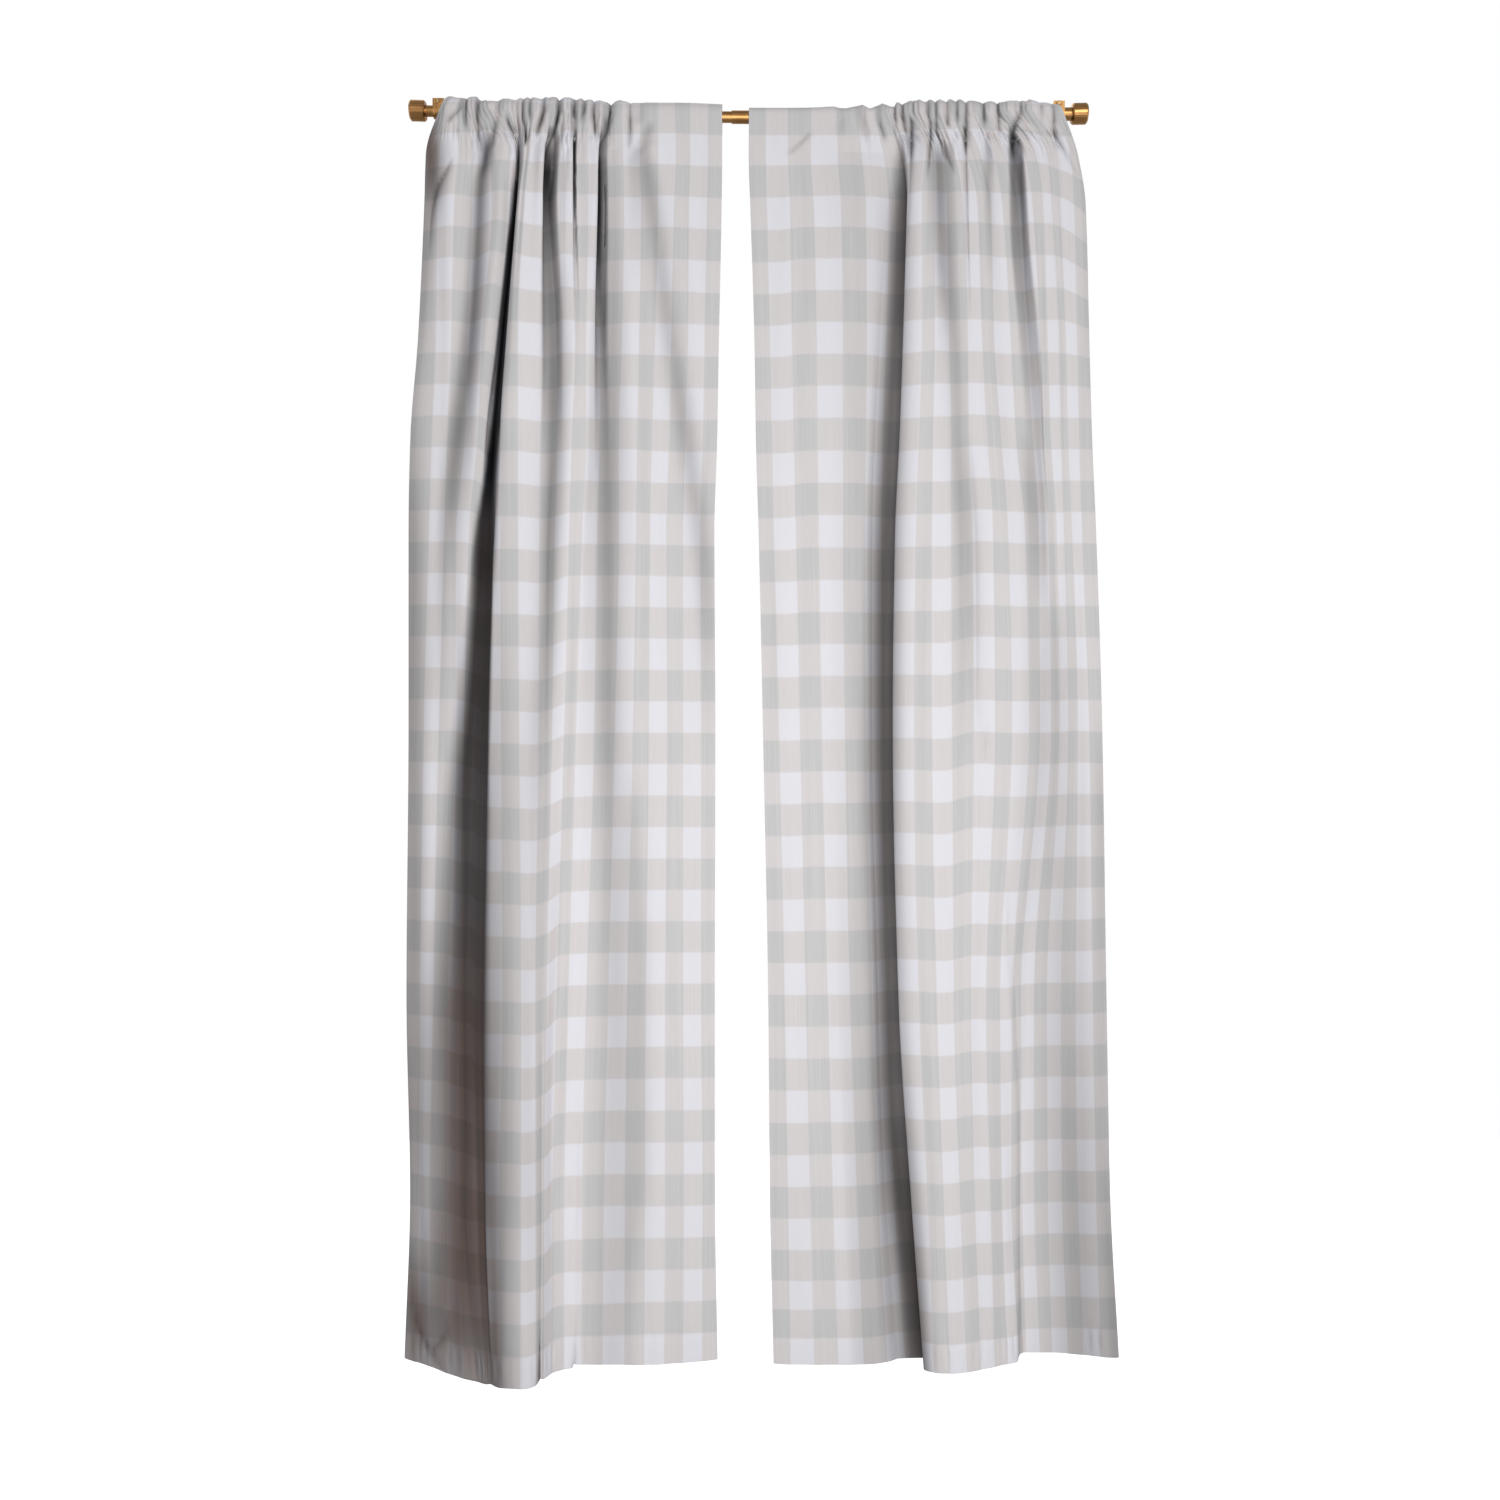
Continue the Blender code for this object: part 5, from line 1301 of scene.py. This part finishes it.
@dataclass(frozen=True)
class CheckWeave:
    """The front of the cloth: a woven check with slub streaks, and painted shade deep in the folds."""

    white: tuple[float, ...] = rgb(231, 230, 235)
    mixed: tuple[float, ...] = rgb(219, 213, 212)
    grey: tuple[float, ...] = rgb(202, 201, 201)
    blush: tuple[float, ...] = rgb(222, 214, 213)
    # Colours the painted shade darkens towards: near black, and a warm brown that stands in for bounced light
    shade: tuple[float, ...] = rgb(22, 23, 29)
    painted_bounce_shade: tuple[float, ...] = rgb(100, 74, 58)
    edge: float = 0.02
    phase: float = 0.33
    broad: Thread = Thread((4.6, 0.05, 1.0), 2.0, 0.07)
    streak: Thread = Thread((17.0, 0.16, 1.0), 3.0, 0.13)
    fine: Thread = Thread((90.0, 1.3, 1.0), 2.0, 0.12)
    cross: Thread = Thread((1.2, 60.0, 1.0), 2.0, 0.05)
    thread_roughness: float = 0.6
    streak_blush: float = 0.8
    broad_blush: float = 0.5
    even_blush: float = 0.1
    fine_relief: float = 0.6
    cross_relief: float = 0.4
    relief: float = 0.12
    relief_depth: float = 0.0004
    roughness: float = 0.82
    gloss: float = 0.15

    def wave(self, place: Socket) -> Socket:
        """Give 1 on white stripes and 0 on grey ones, which come first."""
        turn = (place * 0.5 + 0.25).fraction()
        return abs(turn - 0.5).rise(0.25 + self.edge, 0.25 - self.edge)

    def check(self, shader: Shader, place: Socket) -> Socket:
        """Give the check's colour: white, grey, or mixed where a white thread crosses a grey one."""
        parts = shader.node("ShaderNodeSeparateXYZ", {}, {0: place})
        across, along = Socket(shader, parts.outputs[0]), Socket(shader, parts.outputs[1])
        white_stripe = 1.0 - self.wave(across + self.phase)
        white_band = self.wave(along)
        both = white_stripe * white_band
        either = white_stripe + white_band - both
        return shader.mix(both, shader.mix(either, self.grey, self.mixed), self.white)

    def build(self) -> bpy.types.Material:
        """Make the material."""
        shader = Shader("check_weave")
        place = shader.check_map()
        colour = self.check(shader, place)
        broad, streak, fine, cross = (
            shader.noise(shader.stretched(place, thread.stretch), 1.0, thread.detail, self.thread_roughness)
            for thread in (self.broad, self.streak, self.fine, self.cross)
        )
        blush = (streak - 0.5) * self.streak_blush + (broad - 0.5) * self.broad_blush + self.even_blush
        colour = shader.mix(blush, colour, self.blush)
        light = 1.0 + (streak - 0.5) * self.streak.light + (broad - 0.5) * self.broad.light
        light = light + (fine - 0.5) * self.fine.light + (cross - 0.5) * self.cross.light
        colour = shader.scale(colour, light)
        # Painted shade: darken the check towards the shade colours as far as the mesh's painted shade says
        tint = shader.mix(shader.attribute(PAINTED_WARMTH_MAP), self.shade, self.painted_bounce_shade)
        shaded = shader.mix(1.0, tint, colour, "MULTIPLY")
        colour = shader.mix(shader.attribute(PAINTED_SHADE_MAP), colour, shaded)
        height = fine * self.fine_relief + cross * self.cross_relief
        shader.set(Base_Color=colour, Normal=shader.bump(height, self.relief, self.relief_depth),
                   Roughness=self.roughness, Specular_IOR_Level=self.gloss)
        return shader.material


@dataclass(frozen=True)
class PlainBack:
    """The light back of the cloth, coated to keep light out."""

    colour: tuple[float, ...] = rgb(226, 225, 222)
    grain: tuple[float, float, float] = (60.0, 50.0, 1.0)
    grain_detail: float = 3.0
    grain_light: float = 0.06
    relief: float = 0.1
    relief_depth: float = 0.0004
    roughness: float = 0.7
    gloss: float = 0.3

    def build(self) -> bpy.types.Material:
        """Make the material."""
        shader = Shader("cloth_back")
        grain = shader.noise(shader.stretched(shader.check_map(), self.grain), 1.0, self.grain_detail)
        colour = shader.scale(self.colour, 1.0 - self.grain_light / 2.0 + grain * self.grain_light)
        shader.set(Base_Color=colour, Normal=shader.bump(grain, self.relief, self.relief_depth),
                   Roughness=self.roughness, Specular_IOR_Level=self.gloss)
        return shader.material


@dataclass(frozen=True)
class BrushedBrass:
    """Warm satin brass, brushed along the rod."""

    name: str
    light: tuple[float, ...] = rgb(206, 158, 102)
    deep: tuple[float, ...] = rgb(148, 101, 56)
    roughness: float = 0.3
    grain: tuple[float, float, float] = (6.0, 900.0, 900.0)
    grain_detail: float = 3.0
    cloud_scale: float = 22.0
    cloud_detail: float = 2.0
    brush_share: float = 0.6
    tone_range: tuple[float, float] = (0.25, 0.75)
    brush_roughness: float = 0.1
    cloud_roughness: float = 0.06
    relief: float = 0.15
    relief_depth: float = 0.0002

    def build(self) -> bpy.types.Material:
        """Make the material."""
        shader = Shader(self.name)
        place = shader.add("ShaderNodeTexCoord", {}, {}, "Object")
        brush = shader.noise(shader.stretched(place, self.grain), 1.0, self.grain_detail)
        cloud = shader.noise(place, self.cloud_scale, self.cloud_detail)
        tone = brush * self.brush_share + cloud * (1.0 - self.brush_share)
        colour = shader.mix(tone.rise(*self.tone_range), self.deep, self.light)
        rough = self.roughness + brush * self.brush_roughness + (cloud - 1.0) * self.cloud_roughness
        shader.set(Base_Color=colour, Metallic=1.0, Roughness=rough,
                   Normal=shader.bump(brush, self.relief, self.relief_depth))
        return shader.material


@dataclass(frozen=True)
class Sun:
    """A soft far light: degrees round from the front to the right, above level, and as wide as it is seen."""

    name: str
    strength: float
    azimuth: float
    elevation: float
    angle: float

    def build(self) -> None:
        """Add the light."""
        light = bpy.data.lights.new(self.name, "SUN")
        light.energy = self.strength
        light.angle = math.radians(self.angle)
        lamp = bpy.data.objects.new(self.name, light)
        lamp.rotation_euler = (math.radians(90.0 - self.elevation), 0.0, math.radians(self.azimuth))
        bpy.context.collection.objects.link(lamp)


@dataclass(frozen=True)
class Studio:
    """Floor, world, lights and camera."""

    floor_height: float = -2420.0
    floor_half: float = 2600.0
    floor_colour: tuple[float, ...] = (0.9, 0.9, 0.9, 1.0)
    floor_roughness: float = 0.9
    floor_glow: float = 0.75
    white: tuple[float, ...] = (1.0, 1.0, 1.0, 1.0)
    fill_colour: tuple[float, ...] = (0.93, 0.96, 1.0, 1.0)
    sky: float = 0.315
    gloss: float = 0.95
    dim_gloss: float = 0.1
    band_reach: float = 0.45
    suns: tuple[Sun, ...] = (Sun("key", 0.9, 20.0, 6.0, 28.0), Sun("back", 0.9, 205.0, 35.0, 60.0))
    panel_power: float = 22.2
    panel_distance: float = 2300.0
    panel_azimuth: float = 5.0
    panel_size: float = 900.0
    focal: float = 38.1
    sensor: float = 36.0
    far_end: float = 50.0

    def build(self) -> None:
        """Set up everything round the object."""
        self.lay_floor()
        self.light_world()
        for sun in self.suns:
            sun.build()
        self.add_soft_panel()
        self.place_camera()
        bpy.context.scene.view_settings.view_transform = "Standard"
        LOG.info("studio: floor, world, %d suns, soft panel and camera", len(self.suns))

    def lay_floor(self) -> None:
        """Lay the plain pale floor."""
        place = (0.0, 0.0, self.floor_height * MM)
        bpy.ops.mesh.primitive_plane_add(size=2.0 * self.floor_half * MM, location=place)
        floor = bpy.context.active_object
        floor.name = "floor"
        shader = Shader("floor_paint")
        shader.set(Base_Color=self.floor_colour, Roughness=self.floor_roughness, Emission_Color=self.white,
                   Emission_Strength=self.floor_glow)
        floor.data.materials.append(shader.material)
        floor.visible_diffuse = False
        floor.visible_glossy = False

    def light_world(self) -> None:
        """Make the world white to the camera and a soft fill light to the object."""
        world = bpy.data.worlds.new("studio")
        bpy.context.scene.world = world
        world.use_nodes = True
        maker = NodeMaker(world.node_tree)
        rays = maker.node("ShaderNodeLightPath", {}, {})
        seen = Socket(maker, rays.outputs["Is Camera Ray"])
        mirrored = Socket(maker, rays.outputs["Is Glossy Ray"])
        share = mirrored * self.bright_band(maker) + seen
        fill = maker.add("ShaderNodeBackground", {}, {"Color": self.fill_colour, "Strength": self.sky})
        bright = maker.add("ShaderNodeBackground", {}, {"Color": self.white, "Strength": 1.0})
        mixed = maker.add("ShaderNodeMixShader", {}, {0: share, 1: fill, 2: bright})
        maker.node("ShaderNodeOutputWorld", {}, {"Surface": mixed})

    def bright_band(self, maker: NodeMaker) -> Socket:
        """Give what metal mirrors: a bright band at eye level, dim above and below."""
        way = maker.add("ShaderNodeTexCoord", {}, {}, "Generated")
        parts = maker.node("ShaderNodeSeparateXYZ", {}, {0: way})
        level = abs(Socket(maker, parts.outputs["Z"]))
        return level.rise(self.band_reach, 0.0) * (self.gloss - self.dim_gloss) + self.dim_gloss

    def add_soft_panel(self) -> None:
        """Stand a square soft light level with the middle of the cloth, so that its ends get less light."""
        light = bpy.data.lights.new("soft_panel", "AREA")
        light.energy = self.panel_power
        light.size = self.panel_size * MM
        lamp = bpy.data.objects.new("soft_panel", light)
        turn = math.radians(self.panel_azimuth)
        reach = self.panel_distance * MM
        lamp.location = (reach * math.sin(turn), -reach * math.cos(turn), PICTURE.axis_z() * MM)
        lamp.rotation_euler = (math.radians(90.0), 0.0, turn)
        lamp.visible_camera = False
        bpy.context.collection.objects.link(lamp)

    def place_camera(self) -> None:
        """Stand the camera level in front of the cloth."""
        data = bpy.data.cameras.new("camera")
        data.sensor_width = self.sensor
        data.lens = self.focal
        data.clip_end = self.far_end
        camera = bpy.data.objects.new("camera", data)
        y = -(ROD.to_wall + PICTURE.flat_depth + PICTURE.distance)
        camera.location = (PICTURE.axis_x() * MM, y * MM, PICTURE.axis_z() * MM)
        camera.rotation_euler = (math.radians(90.0), 0.0, 0.0)
        bpy.context.collection.objects.link(camera)
        bpy.context.scene.camera = camera


@dataclass(frozen=True)
class Curtain:
    """The pair of panels, from one cloth."""

    front: CheckWeave = CheckWeave()
    back: PlainBack = PlainBack()
    panels: tuple[Panel, ...] = (
        Panel("left_check_panel", "left_panel", LEFT_LINES, LEFT_FOLDS + LEFT_HEADER_FOLDS, LEFT_TOP,
              LEFT_HEM, LEFT_DRIFTS, 5.67, True, ("rod_inner", "rod_outer")),
        Panel("right_check_panel", "right_panel", RIGHT_LINES, RIGHT_FOLDS + RIGHT_HEADER_FOLDS, RIGHT_TOP,
              RIGHT_HEM, RIGHT_DRIFTS, 4.67, False, ("rod_outer",)),
    )

    def build(self) -> None:
        """Hang both panels."""
        front, back = self.front.build(), self.back.build()
        for panel in self.panels:
            panel.hang(front, back)


@dataclass(frozen=True)
class BrassRod:
    """The rod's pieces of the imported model, which keep their meshes and get their brass."""

    tubes: BrushedBrass = BrushedBrass("rod_brass")
    caps: BrushedBrass = BrushedBrass("cap_brass", roughness=0.26)
    brackets: BrushedBrass = BrushedBrass("bracket_brass", roughness=0.36, grain=(300.0, 300.0, 40.0))
    screws: BrushedBrass = BrushedBrass("screw_plate", rgb(222, 186, 130), rgb(176, 138, 88), 0.25)

    def build(self) -> None:
        """Polish every piece."""
        self.polish(self.tubes, "rod_inner", "rod_outer")
        self.polish(self.caps, "left_cap", "right_cap")
        self.polish(self.brackets, "left_bracket", "right_bracket")
        self.polish(self.screws, "left_screw", "right_screw")

    def polish(self, brass: BrushedBrass, *nodes: str) -> None:
        """Give some pieces one brass."""
        material = brass.build()
        for node in nodes:
            for slot in bpy.data.objects[node].material_slots:
                slot.material = material
            LOG.info("%s: %s", node, brass.name)


def main() -> None:
    """Build the looks in order."""
    logging.basicConfig(level=logging.INFO, format="%(message)s")
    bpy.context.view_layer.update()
    bpy.ops.object.select_all(action="DESELECT")
    for part in (Studio(), Curtain(), BrassRod()):
        part.build()
    bpy.context.view_layer.update()


if __name__ == "__main__":
    main()
